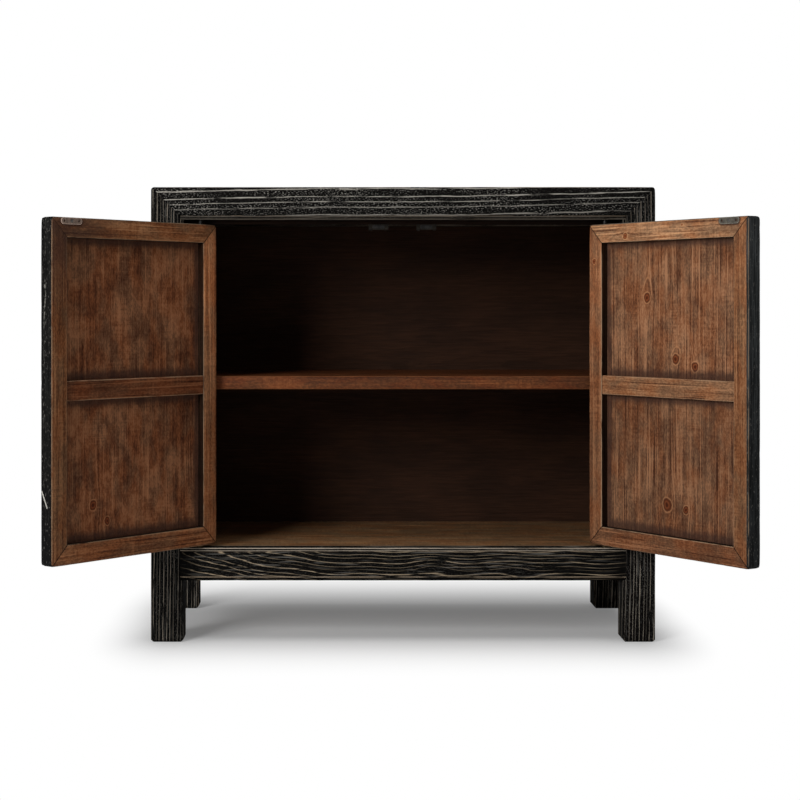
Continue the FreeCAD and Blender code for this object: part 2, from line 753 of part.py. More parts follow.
class Door:
    """One pivot-hung door: a mitred frame round a floating panel, with its pins, plate and knob."""

    def __init__(self, side):
        self.side = side

    def x(self, place):
        """A place measured from the hinge edge, about the pivot."""
        sign = "" if self.side == "left" else "-"
        return f"{sign}(({place}) - pivot_inset)"

    def y(self, place):
        """A depth measured from the front face, about the pivot."""
        return f"({place}) - pivot_depth"

    def pair(self, direction, places):
        """Two places turned into the door's own axes."""
        return tuple(direction(place) for place in places)

    def start(self, name):
        """A body of this door."""
        return new_body(f"{self.side}_door_{name}")

    def hang(self, body):
        """Hangs a piece on the pivot, with the door open."""
        swing = f"-{self.side}_open_angle" if self.side == "left" else f"{self.side}_open_angle"
        body.Placement = FreeCAD.Placement(FreeCAD.Vector(), FreeCAD.Rotation(AXES["Z"], value(swing)))
        pivot = across(self.side)("pivot_place")
        places = (f"{pivot} - origin_shift", "pivot_depth - origin_shift", "door_bottom")
        for axis, place in zip("xyz", places):
            body.setExpression(f"Placement.Base.{axis}", bind(place))
        body.setExpression("Placement.Rotation.Angle", bind(swing))

    def member(self, name, corners, run, outer, inner, mitres):
        """A board of the frame, rounded at its outer corners and edges, then mitred and eased inside."""
        body = self.start(name)
        depths = self.pair(self.y, ("0", "door_thickness"))
        board(body, "board", [(self.x(u), w) for u, w in corners], depths)
        round_edges(body, "door_corner_radius", along("Y"), outer)
        round_edges(body, "door_edge_radius", along(run), outer)
        cut_through(body, "mitres", "XZ_Plane", [[(self.x(u), w) for u, w in mitre] for mitre in mitres])
        round_edges(body, "door_inner_radius", along(run), inner)
        return body

    def panel_groove(self, body, plane, reach):
        """Cuts the panel's groove along the inner edge of a member."""
        depths = self.pair(self.y, ("door_panel_recess - fit_clearance", "door_panel_back + fit_clearance"))
        loop = rectangle(reach, depths)
        if plane == "YZ_Plane":
            loop = rectangle(depths, reach)
        cut_through(body, "panel_groove", plane, [loop])

    def stile(self, name, edge, inner_edge, groove_end):
        """An upright member, mortised for the middle rail."""
        mitres = [
            [(edge, "0"), (inner_edge, "0"), (inner_edge, "stile_width")],
            [(edge, "door_height"), (inner_edge, "door_height"), (inner_edge, "door_height - stile_width")],
        ]
        corners = rectangle((edge, inner_edge), ("0", "door_height"))
        body = self.member(name, corners, "Z", at("X", self.x(edge)), at("X", self.x(inner_edge)), mitres)
        self.panel_groove(body, "XY_Plane", self.pair(self.x, (groove_end("groove_depth"), inner_edge)))
        reach = groove_end("middle_tenon_length + fit_clearance")
        depths = ("middle_tenon_front - fit_clearance", "middle_tenon_back + fit_clearance")
        levels = ("middle_tenon_bottom - fit_clearance", "middle_tenon_top + fit_clearance")
        cut_block(body, "mortise", self.pair(self.x, (reach, inner_edge)), self.pair(self.y, depths), levels)
        return body

    def hinge_stile(self):
        """The upright member on the pivot side."""
        body = self.stile("hinge_stile", "0", "stile_width", lambda reach: f"stile_width - ({reach})")
        self.hang(body)

    def meeting_stile(self):
        """The upright member on the free side, drilled for the knob."""
        inner = "door_width - stile_width"
        body = self.stile("meeting_stile", "door_width", inner, lambda reach: f"{inner} + ({reach})")
        drill(body, "knob_hole", [(self.x("knob_place"), "knob_height", "shank_radius")],
              self.pair(self.y, ("0", "shank_length + bore_overrun")))
        self.hang(body)

    def rail(self, name, edge, inner_edge, groove):
        """A level member of the frame."""
        mitres = [
            [("0", edge), ("0", inner_edge), ("stile_width", inner_edge)],
            [("door_width", edge), ("door_width", inner_edge), ("door_width - stile_width", inner_edge)],
        ]
        corners = rectangle(("0", "door_width"), (edge, inner_edge))
        body = self.member(name, corners, "X", at("Z", edge), at("Z", inner_edge), mitres)
        self.panel_groove(body, "YZ_Plane", groove)
        return body

    def top_rail(self):
        """The upper level member, bored for its pivot pin and for the strike plate's screw."""
        inner = "door_height - stile_width"
        body = self.rail("top_rail", "door_height", inner, (inner, f"{inner} + groove_depth"))
        bore(body, "pin_hole", [("0", "0", "pin_radius + pin_clearance")],
             ("door_height - pin_depth", "door_height"))
        drill(body, "screw_hole", [(self.x("plate_place"), "plate_middle", "screw_radius")],
              self.pair(self.y, ("door_thickness - screw_length - bore_overrun", "door_thickness")))
        self.hang(body)

    def bottom_rail(self):
        """The lower level member, bored for its pivot pin."""
        body = self.rail("bottom_rail", "0", "stile_width", ("stile_width - groove_depth", "stile_width"))
        bore(body, "pin_hole", [("0", "0", "pin_radius + pin_clearance")], ("0", "pin_depth"))
        self.hang(body)

    def middle_rail(self):
        """The level batten behind the panel, tenoned into both stiles."""
        body = self.start("middle_rail")
        block(body, "bar", self.pair(self.x, ("stile_width", "door_width - stile_width")),
              self.pair(self.y, ("door_panel_back", "middle_rail_face")),
              ("middle_rail_bottom", "middle_rail_top"))
        round_edges(body, "door_inner_radius", along("X"), at("Y", self.y("middle_rail_face")))
        ends = {
            "hinge_tenon": ("stile_width - middle_tenon_length", "stile_width"),
            "meeting_tenon": ("door_width - stile_width", "door_width - stile_width + middle_tenon_length"),
        }
        for name, places in ends.items():
            block(body, name, self.pair(self.x, places),
                  self.pair(self.y, ("middle_tenon_front", "middle_tenon_back")),
                  ("middle_tenon_bottom", "middle_tenon_top"))
        self.hang(body)

    def panel(self):
        """The board that floats in the frame's groove."""
        body = self.start("panel")
        reach = "stile_width - tongue_length"
        block(body, "board", self.pair(self.x, (reach, f"door_width - ({reach})")),
              self.pair(self.y, ("door_panel_recess", "door_panel_back")),
              (reach, f"door_height - ({reach})"))
        self.hang(body)

    def pin(self, name, levels, tip):
        """A pivot pin, chamfered at the end that enters its bush."""
        body = self.start(name)
        sketch = circles(body, "pin", "XY_Plane", [("0", "0", "pin_radius")], ("0", "0", levels[0]))
        extrude(body, "Pad", "pin", sketch, f"({levels[1]}) - ({levels[0]})")
        chamfer_edges(body, "pin_chamfer", at("Z", tip))
        self.hang(body)

    def pins(self):
        """The two pins that the door swings on."""
        upper_tip = "door_height + door_top_gap + lining_thickness + pin_reach"
        lower_tip = "-(door_bottom_gap + lining_thickness + pin_reach)"
        self.pin("upper_pin", ("door_height - pin_depth", upper_tip), upper_tip)
        self.pin("lower_pin", (lower_tip, "pin_depth"), lower_tip)

    def strike_plate(self):
        """The round-ended plate that the catch holds, screwed to the inner face."""
        body = self.start("strike_plate")
        corners = [(self.x(f"plate_place {u} plate_length / 2"), f"plate_middle {w} plate_height / 2")
                   for u, w in ("--", "+-", "++", "-+")]
        face = "door_thickness + plate_thickness"
        board(body, "plate", corners, self.pair(self.y, ("door_thickness", face)))
        round_edges(body, "plate_height / 2 - fit_clearance", along("Y"))
        holes = [(self.x(f"plate_place {sign} plate_hole_pitch"), "plate_middle", "plate_hole_radius")
                 for sign in "-+"]
        drill(body, "holes", holes, self.pair(self.y, ("door_thickness", face)))
        sink = [
            ("0", self.y("door_thickness")),
            ("screw_radius", self.y("door_thickness")),
            ("screw_radius", self.y(f"{face} - screw_head_height")),
            ("screw_head_radius + sink_clearance", self.y(face)),
            ("0", self.y(face)),
        ]
        turn(body, "Groove", "countersink", sink, (self.x("plate_place"), "0", "plate_middle"))
        self.hang(body)

    def strike_screw(self):
        """The countersunk screw through the middle of the strike plate."""
        body = self.start("strike_screw")
        face = "door_thickness + plate_thickness"
        profile = [
            ("0", self.y("door_thickness - screw_length")),
            ("screw_radius - fit_clearance", self.y("door_thickness - screw_length")),
            ("screw_radius - fit_clearance", self.y(f"{face} - screw_head_height")),
            ("screw_head_radius", self.y(face)),
            ("0", self.y(face)),
        ]
        turn(body, "Revolution", "screw", profile, (self.x("plate_place"), "0", "plate_middle"))
        self.hang(body)

    def knob(self):
        """The turned knob, with the shank that screws into the stile."""
        body = self.start("knob")
        neck, head = "-knob_neck_length", "-(knob_neck_length + knob_length)"
        profile = [
            ("0", self.y(head)),
            ("knob_radius", self.y(head)),
            ("knob_radius", self.y(neck)),
            ("knob_neck_radius", self.y(neck)),
            ("knob_neck_radius", self.y("0")),
            ("shank_radius - fit_clearance", self.y("0")),
            ("shank_radius - fit_clearance", self.y("shank_length")),
            ("0", self.y("shank_length")),
        ]
        turn(body, "Revolution", "knob", profile, (self.x("knob_place"), "0", "knob_height"))
        round_edges(body, "knob_round", at("Y", self.y(head)))
        self.hang(body)

    def build(self):
        """Makes every piece of the door."""
        self.hinge_stile()
        self.meeting_stile()
        self.top_rail()
        self.bottom_rail()
        self.middle_rail()
        self.panel()
        self.pins()
        self.strike_plate()
        self.strike_screw()
        self.knob()


# Assembly

def build_carcass():
    """Makes every piece that stands still."""
    for end in ("front", "rear"):
        for side in SIDES:
            post(side, end)
        top_long_rail(end)
        bottom_long_rail(end)
    for side in SIDES:
        top_side_rail(side)
        bottom_side_rail(side)
        side_panel(side)
        side_cleat(side)
        top_batten(side)
        jamb_lining(side)
        catch_housing(side)
        catch_magnet(side)
    top_panel()
    back_panel()
    back_cleat()
    floor_bearer()
    notched_board("floor_board", "lining_back", ("floor_underside", "floor_level"))
    shelf = notched_board("shelf", "shelf_setback", ("shelf_underside", "shelf_top"))
    round_edges(shelf, "shelf_radius", along("X"), at("Y", "shelf_setback"))
    long_lining("head_lining", ("head_level", "top_rail_underside"))
    long_lining("sill_lining", ("rail_top", "floor_level"))
    catch_rail()
    catch_screws()
    pivot_bushes()
    pivot_collars()


def check_document():
    """Stops on a failed feature, an unsound shape or a cut that takes nothing away."""
    doc.recompute()
    for feature in doc.Objects:
        if {"Invalid", "Error"} & set(feature.State):
            raise RuntimeError(f"{feature.Label} failed: {feature.State}")
        cuts = feature.TypeId in ("PartDesign::Pocket", "PartDesign::Groove")
        if cuts and feature.Shape.Volume >= feature.BaseFeature.Shape.Volume:
            raise RuntimeError(f"{feature.Label} cuts nothing")
    for piece in sub_parts:
        if piece.Shape.isNull() or not piece.Shape.isValid():
            raise RuntimeError(f"{piece.Label} has no sound shape")


def write_parts():
    """Writes each sub-part to its own file."""
    os.makedirs("parts", exist_ok=True)
    for piece in sub_parts:
        piece.Shape.exportStep(f"parts/{piece.Label}.step")
        print(piece.Label, len(piece.Shape.Solids), f"{piece.Shape.Volume:.0f}")


build_carcass()
for door_side in SIDES:
    Door(door_side).build()
check_document()
write_parts()
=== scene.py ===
"""The looks of a two-door cabinet: brushed black paint outside and stained pine inside.

Lengths are in metres, in the cabinet's own frame: X to the right along the front, Y to the back and Z up,
with the origin under the front left post. Every wooden piece is treated as a plank sawn from a log, and the
same count of growth rings gives its colour and its relief.
"""

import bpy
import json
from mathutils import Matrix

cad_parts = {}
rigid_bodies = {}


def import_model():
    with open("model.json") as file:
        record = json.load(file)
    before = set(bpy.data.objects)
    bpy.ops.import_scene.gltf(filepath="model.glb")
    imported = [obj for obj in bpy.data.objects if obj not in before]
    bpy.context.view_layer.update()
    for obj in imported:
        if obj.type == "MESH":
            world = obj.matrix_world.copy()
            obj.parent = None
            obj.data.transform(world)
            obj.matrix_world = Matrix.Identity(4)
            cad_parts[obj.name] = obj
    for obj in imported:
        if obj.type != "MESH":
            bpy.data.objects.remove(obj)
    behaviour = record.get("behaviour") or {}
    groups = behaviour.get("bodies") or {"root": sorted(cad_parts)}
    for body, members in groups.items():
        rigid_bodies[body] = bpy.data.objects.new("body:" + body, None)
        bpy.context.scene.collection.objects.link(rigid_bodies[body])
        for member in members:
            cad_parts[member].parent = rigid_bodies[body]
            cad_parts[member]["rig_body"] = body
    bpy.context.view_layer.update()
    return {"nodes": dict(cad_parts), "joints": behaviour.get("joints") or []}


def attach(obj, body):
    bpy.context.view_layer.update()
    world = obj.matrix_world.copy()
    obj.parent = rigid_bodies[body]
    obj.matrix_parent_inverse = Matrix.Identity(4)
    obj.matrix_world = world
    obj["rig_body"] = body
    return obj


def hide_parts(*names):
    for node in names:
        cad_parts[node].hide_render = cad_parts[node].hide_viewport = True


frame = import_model()

import json
import math
import random
from collections import namedtuple

import bmesh
import bpy
import numpy as np
from bpy.props import FloatProperty, FloatVectorProperty, PointerProperty
from mathutils import Matrix, Vector, noise

bl_info = {
    "name": "Brushed Cabinet",
    "version": (1, 0, 0),
    "blender": (4, 5, 0),
    "location": "View3D > Sidebar > Cabinet",
    "description": "Finishes a two-door cabinet in brushed black paint and stained pine",
    "category": "Object",
}

SIDES = ("left", "right")
ENDS = ("front", "rear")
RIGHT, BACK, UP, DOWN = Vector((1, 0, 0)), Vector((0, 1, 0)), Vector((0, 0, 1)), Vector((0, 0, -1))

# How rings are spaced: the swing between wide and narrow years, and how fast it comes and goes
UNEVEN_SHARE = 0.15
YEARS_RATE = 1.9

# The net that a worn member is cut into: steps along, across and through the wood
NET = (0.006, 0.0016, 0.0016)
# Places this close are one place, a cut this close to a place goes through it, faces this flat are one face,
# and edges steeper than the last stay sharp
WELD = 1e-5
SNAP = 1e-6
FLAT = math.radians(0.5)
SHARP = math.radians(40)
# How deep the skin of a member goes, and how far from an arris it is worn
SKIN_DEPTH = 0.0035
ARRIS_REACH = 0.006
# How much more the arrises are worn at the ends of a member, and how far from the ends
END_WEAR = 4
END_REACH = 0.009
# How fast the unevenness of the wear and its dents come and go along, across and through the wood
UNEVEN_RATE = np.array((24, 20, 20))
DENT_RATE = np.array((70, 30, 30))
# The round of a knocked corner, and how far along the edges it fades
KNOCK = 0.007
KNOCK_FADE = 0.03

# The joinery that the finishes follow: the height of the posts' feet, the bead and the tenons of the bottom
# rails, and how much of a door panel its grooves hold
FOOT_TOP = 0.116
BEAD_WIDTH = 0.006
TENON = 0.018
PANEL_HELD = 0.0085

# Spacing of the growth rings
POST_RINGS = 0.0066
TOP_RAIL_RINGS = 0.0115
BOTTOM_RAIL_RINGS = 0.0072
LINING_RINGS = 0.008
DOOR_FRAME_RINGS = 0.0075
DOOR_PANEL_RINGS = 0.011
BOARD_RINGS = 0.012
DARK_RINGS = 0.013

# How strongly the finishes shine
PAINT_GLOSS = 0.03
DARK_GLOSS = 0.05
DOOR_GLOSS = 0.08
BOARD_GLOSS = 0.12


# Settings that a user would change

def colour(name, description, default):
    """A colour setting."""
    return FloatVectorProperty(name=name, description=description, default=default, subtype="COLOR",
                               size=3, min=0, max=1)


def length(name, description, default):
    """A length setting in metres."""
    return FloatProperty(name=name, description=description, default=default, unit="LENGTH",
                         subtype="DISTANCE")


def power(name, description, default):
    """A light's power setting in watts."""
    return FloatProperty(name=name, description=description, default=default, unit="POWER")


class CabinetPaint(bpy.types.PropertyGroup):
    """The brushed black paint of the outside."""

    paint: colour("Paint", "Black paint left in the soft wood", (0.0019, 0.0017, 0.0015))
    scuff: colour("Scuffs", "White scuffs on the edges of the doors", (0.5, 0.48, 0.43))
    dust: colour("Dust", "Pale dust that fills the brushed pores", (0.2, 0.188, 0.17))
    bare: colour("Bare grain", "Hard grain that the brush has laid bare", (0.36, 0.31, 0.25))
    worn: colour("Worn arris", "Wood rubbed bare along the arrises", (0.26, 0.2, 0.14))
    rubbed: length("Rubbed width", "How far the wear reaches from an arris", 0.0016)
    relief: length("Brushed depth", "How deep the brush has taken the soft wood", 0.0003)
    wear: length("Arris wear", "How far the arrises are worn down", 0.0007)


class CabinetStain(bpy.types.PropertyGroup):
    """The stained pine of the inside."""

    frame: colour("Door frame", "Stain of the door frames", (0.2, 0.094, 0.043))
    panel: colour("Door panel", "Stain of the door panels", (0.17, 0.078, 0.037))
    board: colour("Board", "Stain of the shelf, which is paler on the floor", (0.083, 0.0245, 0.007))
    inside: colour("Inside", "Dark stain of the case's inside", (0.025, 0.0115, 0.0066))
    # The rubbed stain along the door frames' arrises is partly a painted highlight
    pale: colour("Rubbed stain", "Stain rubbed thin along the arrises", (0.4, 0.27, 0.165))
    # Soil is also used as painted shade along the borders of the door panels, and as a painted shadow round
    # the strike plates
    soil_and_shade: colour("Soil", "Dirt in the corners and round the plates", (0.035, 0.0175, 0.013))
    border: length("Border", "Width of the dark border of a door panel", 0.018)


class CabinetMetal(bpy.types.PropertyGroup):
    """The metal of the small fittings."""

    plate: colour("Plate", "Dulled strike plates", (0.14, 0.125, 0.105))
    steel: colour("Steel", "Screws", (0.38, 0.37, 0.35))
    bronze: colour("Bronze", "Darkened pivot bushes and collars", (0.05, 0.036, 0.02))
    iron: colour("Iron", "Blackened iron of the pins and magnets", (0.03, 0.029, 0.028))
    knob: colour("Knob", "Knobs of rubbed iron", (0.14, 0.132, 0.12))
    catch: colour("Catch", "Catch housings", (0.012, 0.0092, 0.0062))


class CabinetStage(bpy.types.PropertyGroup):
    """Where the camera and the lights stand."""

    camera: FloatVectorProperty(name="Camera", description="Where the camera stands", size=3,
                                default=(0.3247, -3.391, 0.6333), unit="LENGTH", subtype="XYZ")
    lens: FloatProperty(name="Lens", description="Focal length on a 36 mm sensor", default=79.59)
    shift_right: FloatProperty(name="Shift right", description="Sideways shift of the lens", default=0.0798)
    shift_up: FloatProperty(name="Shift up", description="Upward shift of the lens", default=-0.1135)
    key: power("Key light", "Power of the light on the left", 120)
    fill: power("Fill light", "Power of the light on the right", 5)
    top: power("Top light", "Power of the light overhead", 45)
    ambient: FloatProperty(name="Ambient", description="Brightness of the room", default=0.12)


SETTINGS = {
    "cabinet_paint": CabinetPaint,
    "cabinet_stain": CabinetStain,
    "cabinet_metal": CabinetMetal,
    "cabinet_stage": CabinetStage,
}


# Shader maths

class Wire:
    """One output of a shader tree. Arithmetic on wires adds Math nodes."""

    def __init__(self, tree, output):
        self.tree = tree
        self.output = output

    def node(self, kind, settings=None, inputs=None, output=0):
        """Adds a node, with its settings first and then the values or wires of its sockets."""
        node = self.tree.nodes.new(kind)
        for name, setting in (settings or {}).items():
            setattr(node, name, setting)
        for name, value in (inputs or {}).items():
            if isinstance(value, Wire):
                self.tree.links.new(value.output, node.inputs[name])
            else:
                node.inputs[name].default_value = value
        return Wire(self.tree, node.outputs[output]) if node.outputs else None

    def math(self, operation, *values):
        """A Math node on this wire's tree."""
        return self.node("ShaderNodeMath", {"operation": operation}, dict(enumerate(values)))

    def __add__(self, other):
        return self.math("ADD", self, other)

    def __sub__(self, other):
        return self.math("SUBTRACT", self, other)

    def __rsub__(self, other):
        return self.math("SUBTRACT", other, self)

    def __mul__(self, other):
        return self.math("MULTIPLY", self, other)

    def __pow__(self, other):
        return self.math("POWER", self, other)

    def __mod__(self, other):
        return self.math("FLOORED_MODULO", self, other)

    def __abs__(self):
        return self.math("ABSOLUTE", self)

    def sin(self):
        """The sine, under the name by which an array's sine finds it."""
        return self.math("SINE", self)

    def exp(self):
        """The exponential, under the name by which an array's exponential finds it."""
        return self.math("EXPONENT", self)

    def most(self, other):
        """The larger of two values."""
        return self.math("MAXIMUM", self, other)

    def least(self, other):
        """The smaller of two values."""
        return self.math("MINIMUM", self, other)

    def chance(self):
        """A random share for each whole number that this wire passes."""
        whole = self.math("FLOOR", self)
        return self.node("ShaderNodeTexWhiteNoise", {"noise_dimensions": "1D"}, {"W": whole})

    def join(self, second, third):
        """A vector with this wire as its first part."""
        return self.node("ShaderNodeCombineXYZ", inputs={0: self, 1: second, 2: third})

    def split(self):
        """The three parts of a vector."""
        node = self.node("ShaderNodeSeparateXYZ", inputs={0: self}).output.node
        return [Wire(self.tree, output) for output in node.outputs]

    def smooth(self, low, high):
        """A soft step from zero at low to one at high."""
        return self.node("ShaderNodeMapRange", {"interpolation_type": "SMOOTHSTEP"},
                         {0: self, 1: low, 2: high})

    def mix(self, first, second):
        """Two colours mixed by this wire, through the Mix node's sockets for colours."""
        first, second = (tone if isinstance(tone, Wire) else (*tone, 1) for tone in (first, second))
        return self.node("ShaderNodeMix", {"data_type": "RGBA"}, {0: self, 6: first, 7: second}, output=2)

    def shade(self, dark, light):
        """A number that goes from dark to light with this wire."""
        return self.node("ShaderNodeMapRange", inputs={0: self, 3: dark, 4: light})

    def dim(self, factor):
        """This colour, dimmed by a factor."""
        return self.node("ShaderNodeVectorMath", {"operation": "SCALE"}, {0: self, "Scale": factor})


def new_material(name):
    """A material without nodes."""
    material = bpy.data.materials.new(name)
    material.use_nodes = True
    material.node_tree.nodes.clear()
    return material


def first_wire(tree, kind="ShaderNodeTexCoord", output="Object"):
    """A wire to start from: the places on an object, or an output of another node without inputs."""
    return Wire(tree, tree.nodes.new(kind).outputs[output])


# Planks and logs

Foot = namedtuple("Foot", "top shift_across shift_through half_across half_through")


class Plank:
    """A node seen as a plank: X along its grain, Y across its width and Z through it, from its middle.

    A plank with a wider foot is measured above it, and the foot on its own.
    """

    def __init__(self, node, along, across, foot=None):
        self.node = node
        self.turn = Matrix((along, across, along.cross(across))) @ closing_turn(node)
        places = np.array([vertex.co for vertex in frame["nodes"][node].data.vertices])
        places = places @ np.array(self.turn).T
        self.low, self.high = places.min(0), places.max(0)
        below = places[places[:, 0] < foot] if foot else None
        places = places[places[:, 0] > foot] if foot else places
        low, high = places.min(0), places.max(0)
        self.middle = [float(place) for place in (low + high) / 2]
        self.half = [float(size) for size in (high - low) / 2]
        self.places = places - (low + high) / 2
        self.seed = random.Random(node).uniform(0, 40)
        self.foot = None
        if foot:
            shift = (below.min(0) + below.max(0)) / 2 - self.middle
            size = (below.max(0) - below.min(0)) / 2
            self.foot = Foot(foot - self.middle[0], *(float(value) for value in (*shift[1:], *size[1:])))

    def mitre_reach(self, outer):
        """Where the mitres of a frame member would meet its outer edge, from the middle."""
        x, y, _ = self.places.T
        return float((abs(x) + self.half[1] - y * outer).max())

    def wire(self, tree):
        """The plank's own places, in a shader tree."""
        start = first_wire(tree)
        shift = [-place for place in self.middle]
        return start.node("ShaderNodeMapping", inputs={
            "Vector": start, "Rotation": self.turn.to_euler("XYZ"), "Location": shift})


def closing_turn(node):
    """The turn that closes the door that a node belongs to."""
    body = frame["nodes"][node]["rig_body"]
    for joint in frame["joints"]:
        if joint["child"] == body:
            return Matrix.Rotation(math.radians(joint["range_deg"][0]), 3, Vector(joint["axis"]))
    return Matrix.Identity(3)


# A log hooks away from the plank's face before its crook, if it has one
Log = namedtuple("Log", "pith_across pith_depth lean_across lean_depth sway wave phase spacing hook crook",
                 defaults=(0.0, 0.0))


def straight_log(name, spacing, deep=0.0):
    """A log whose pith lies well to one side, so that its grain runs in nearly straight lines.

    A deep pith gives such lines on two neighbouring faces.
    """
    draw = random.Random(name)
    side = draw.choice((-1, 1))
    return Log(side * draw.uniform(0.16, 0.3), draw.uniform(-0.06, 0.06) + deep,
               draw.uniform(-0.012, 0.012), draw.uniform(-0.01, 0.01), draw.uniform(0.0008, 0.003),
               draw.uniform(0.35, 0.8), draw.uniform(0, math.tau), spacing)


def flat_log(name, spacing):
    """A log whose pith lies behind the face, so that its grain sweeps in long arches."""
    draw = random.Random(name)
    return Log(draw.uniform(-0.02, 0.02), draw.choice((-1, 1)) * draw.uniform(0.04, 0.07),
               draw.uniform(-0.02, 0.02), draw.uniform(0.03, 0.06), draw.uniform(0.002, 0.005),
               draw.uniform(0.3, 0.6), draw.uniform(0, math.tau), spacing)


def ring_number(x, y, z, log):
    """Counts growth rings from the pith of a log; the places are wires or arrays."""
    bend = np.sin(x * (math.tau / log.wave) + log.phase) * log.sway
    across = y - (x * log.lean_across + bend) - log.pith_across
    depth = z - x * log.lean_depth - log.pith_depth
    if log.hook:
        past = x - log.crook
        depth = depth - (past - abs(past)) * (log.hook / 2)
    rings = (across * across + depth * depth) ** 0.5 * (1 / log.spacing)
    return rings + np.sin(rings * YEARS_RATE + log.phase) * UNEVEN_SHARE


def late_wood(rings, sharpness):
    """One at the hard late wood of each ring, falling to nothing in the soft wood between."""
    return (1 - abs(rings % 1 * 2 - 1)) ** sharpness


def fibres(grain, across, along, seed, detail=3.0, rough=0.55):
    """Noise drawn out along the grain, with features of the given sizes."""
    scale = (1 / along, 1 / across, 1 / across)
    place = grain.node("ShaderNodeMapping", inputs={
        "Vector": grain, "Scale": scale, "Location": (seed,) * 3})
    return place.node("ShaderNodeTexNoise", {"noise_dimensions": "3D"},
                      {"Vector": place, "Scale": 1.0, "Detail": detail, "Roughness": rough})


# Finishes

# A knot's flame is as long as that many times its size
Knot = namedtuple("Knot", "along across size flame", defaults=(0,))


class Coat(namedtuple("Coat", "colour roughness height")):
    """A finish: its colour, its roughness and the height of its fine relief."""

    def rub(self, mask, tone):
        """This coat with a tone rubbed in, where the mask says."""
        return self._replace(colour=mask.mix(self.colour, tone))

    def dim(self, factor):
        """This coat, dimmed by a factor."""
        return self._replace(colour=self.colour.dim(factor))


def lay(mask, under, over):
    """One coat over another, where the mask says."""
    return Coat(mask.mix(under.colour, over.colour), mask * over.roughness + (1 - mask) * under.roughness,
                mask * over.height + (1 - mask) * under.height)


def tint(tone, *shares):
    """A colour with its red, green and blue scaled."""
    return [part * share for part, share in zip(tone, shares * 3 if len(shares) == 1 else shares)]


def arrises(grain, plank, near, far):
    """One along a plank's arrises, falling to nothing from a near gap to a far one."""
    x, y, z = grain.split()
    gap = (plank.half[1] - abs(y)).most(plank.half[2] - abs(z))
    if plank.foot:
        top, shift_across, shift_through, half_across, half_through = plank.foot
        low = (half_across - abs(y - shift_across)).most(half_through - abs(z - shift_through))
        share = x.smooth(top - 0.0005, top + 0.0005)
        gap = gap * share + low * (1 - share)
    return 1 - gap.smooth(near, far)


def seam(grain, plank, outer):
    """The fine dark joint of a mitre, for a member whose outer edge lies on the given side."""
    x, y, _ = grain.split()
    gap = abs(abs(x) - y * outer + (plank.half[1] - plank.mitre_reach(outer)))
    return 1 - gap.smooth(0.0005, 0.002)


def part_grain(x, y, knots):
    """The places across a plank, with the grain parted round its knots."""
    for knot in knots:
        along, across = x - knot.along, y - knot.across
        reach = along * along * (0.05 / knot.size ** 2) + across * across * (0.2 / knot.size ** 2)
        y = y - across * np.exp(reach * -1) * 0.75
    return y


def brushed_paint(grain, plank, log, strength=1.0, speckle=0.6, knots=(), bare=None):
    """Black paint, brushed back so that hard grain, pores and arrises show pale.

    Its pores are round specks by the share of speckle, and long dashes otherwise.
    """
    tones = bpy.context.scene.cabinet_paint
    x, y, z = grain.split()
    y = part_grain(x, y, knots)
    ragged = fibres(grain, 0.006, 0.07, plank.seed)
    rings = ring_number(x, y, z, log) + (ragged - 0.5) * 0.5
    patches = fibres(grain, 0.03, 0.2, plank.seed + 3).smooth(0.36, 0.64)
    breaks = fibres(grain, 0.003, 0.05, plank.seed + 5).smooth(0.34, 0.52)
    late = late_wood(rings, 5.0).smooth(0.25, 0.7) * rings.chance().shade(0.2, 0.95) * breaks
    line = late * strength
    specks = fibres(grain, 0.002, 0.0036, plank.seed + 7, 1.0).smooth(0.54, 0.7) * speckle
    dashes = fibres(grain, 0.003, 0.06, plank.seed + 19, 1.0).smooth(0.57, 0.7) * ((1 - speckle) * 0.45)
    specks = specks.most(dashes) * patches.shade(0.1, 1.0) * strength
    rubbed = arrises(grain, plank, tones.rubbed * 0.55, tones.rubbed)
    rubbed = rubbed * fibres(grain, 0.01, 0.05, plank.seed + 9).smooth(0.36, 0.54)
    skin = specks.mix(tones.paint, tones.dust)
    skin = line.mix(skin, bare or tones.bare)
    skin = (rubbed * 0.8).mix(skin, tones.worn)
    return Coat(skin, ragged.shade(0.62, 0.8), late * 0.6 + specks * 0.3 - rubbed * 0.4)


def edge_paint(grain, plank, paint, scuffed):
    """Black paint on the edges of a door: smooth, faintly streaked, scuffed white near the outside, and
    lighter along the member, towards the top on the stiles, as painted light.
    """
    tones = bpy.context.scene.cabinet_paint
    x, _, z = grain.split()
    streaks = fibres(grain, 0.004, 0.08, plank.seed + 21).smooth(0.35, 0.7)
    specks = fibres(grain, 0.003, 0.006, plank.seed + 22, 2.0).smooth(0.58, 0.74)
    scuffs = 1 - abs(z + 0.005).smooth(0.002, 0.006)
    scuffs = scuffs * fibres(grain, 0.0045, 0.04, plank.seed + 23, 2.0).smooth(0.5, 0.6) * scuffed
    scuffs = scuffs * fibres(grain, 0.0022, 0.006, plank.seed + 24, 0.0).smooth(0.35, 0.6)
    # Painted light: the black grows lighter along the member, towards the top of the door on the stiles
    low = x.smooth(-plank.half[0], plank.half[0])
    soft = low.mix(tint(paint, 0.25), tint(paint, 0.75))
    skin = (streaks * 0.85).mix(soft, low.mix(tint(paint, 1.6), tint(paint, 3.6)))
    skin = (specks * 0.35).mix(skin, tones.dust)
    skin = (scuffs * 0.42).mix(skin, tones.scuff)
    return Coat(skin, streaks.shade(0.55, 0.75), streaks * 0.5 - scuffs * 0.5)


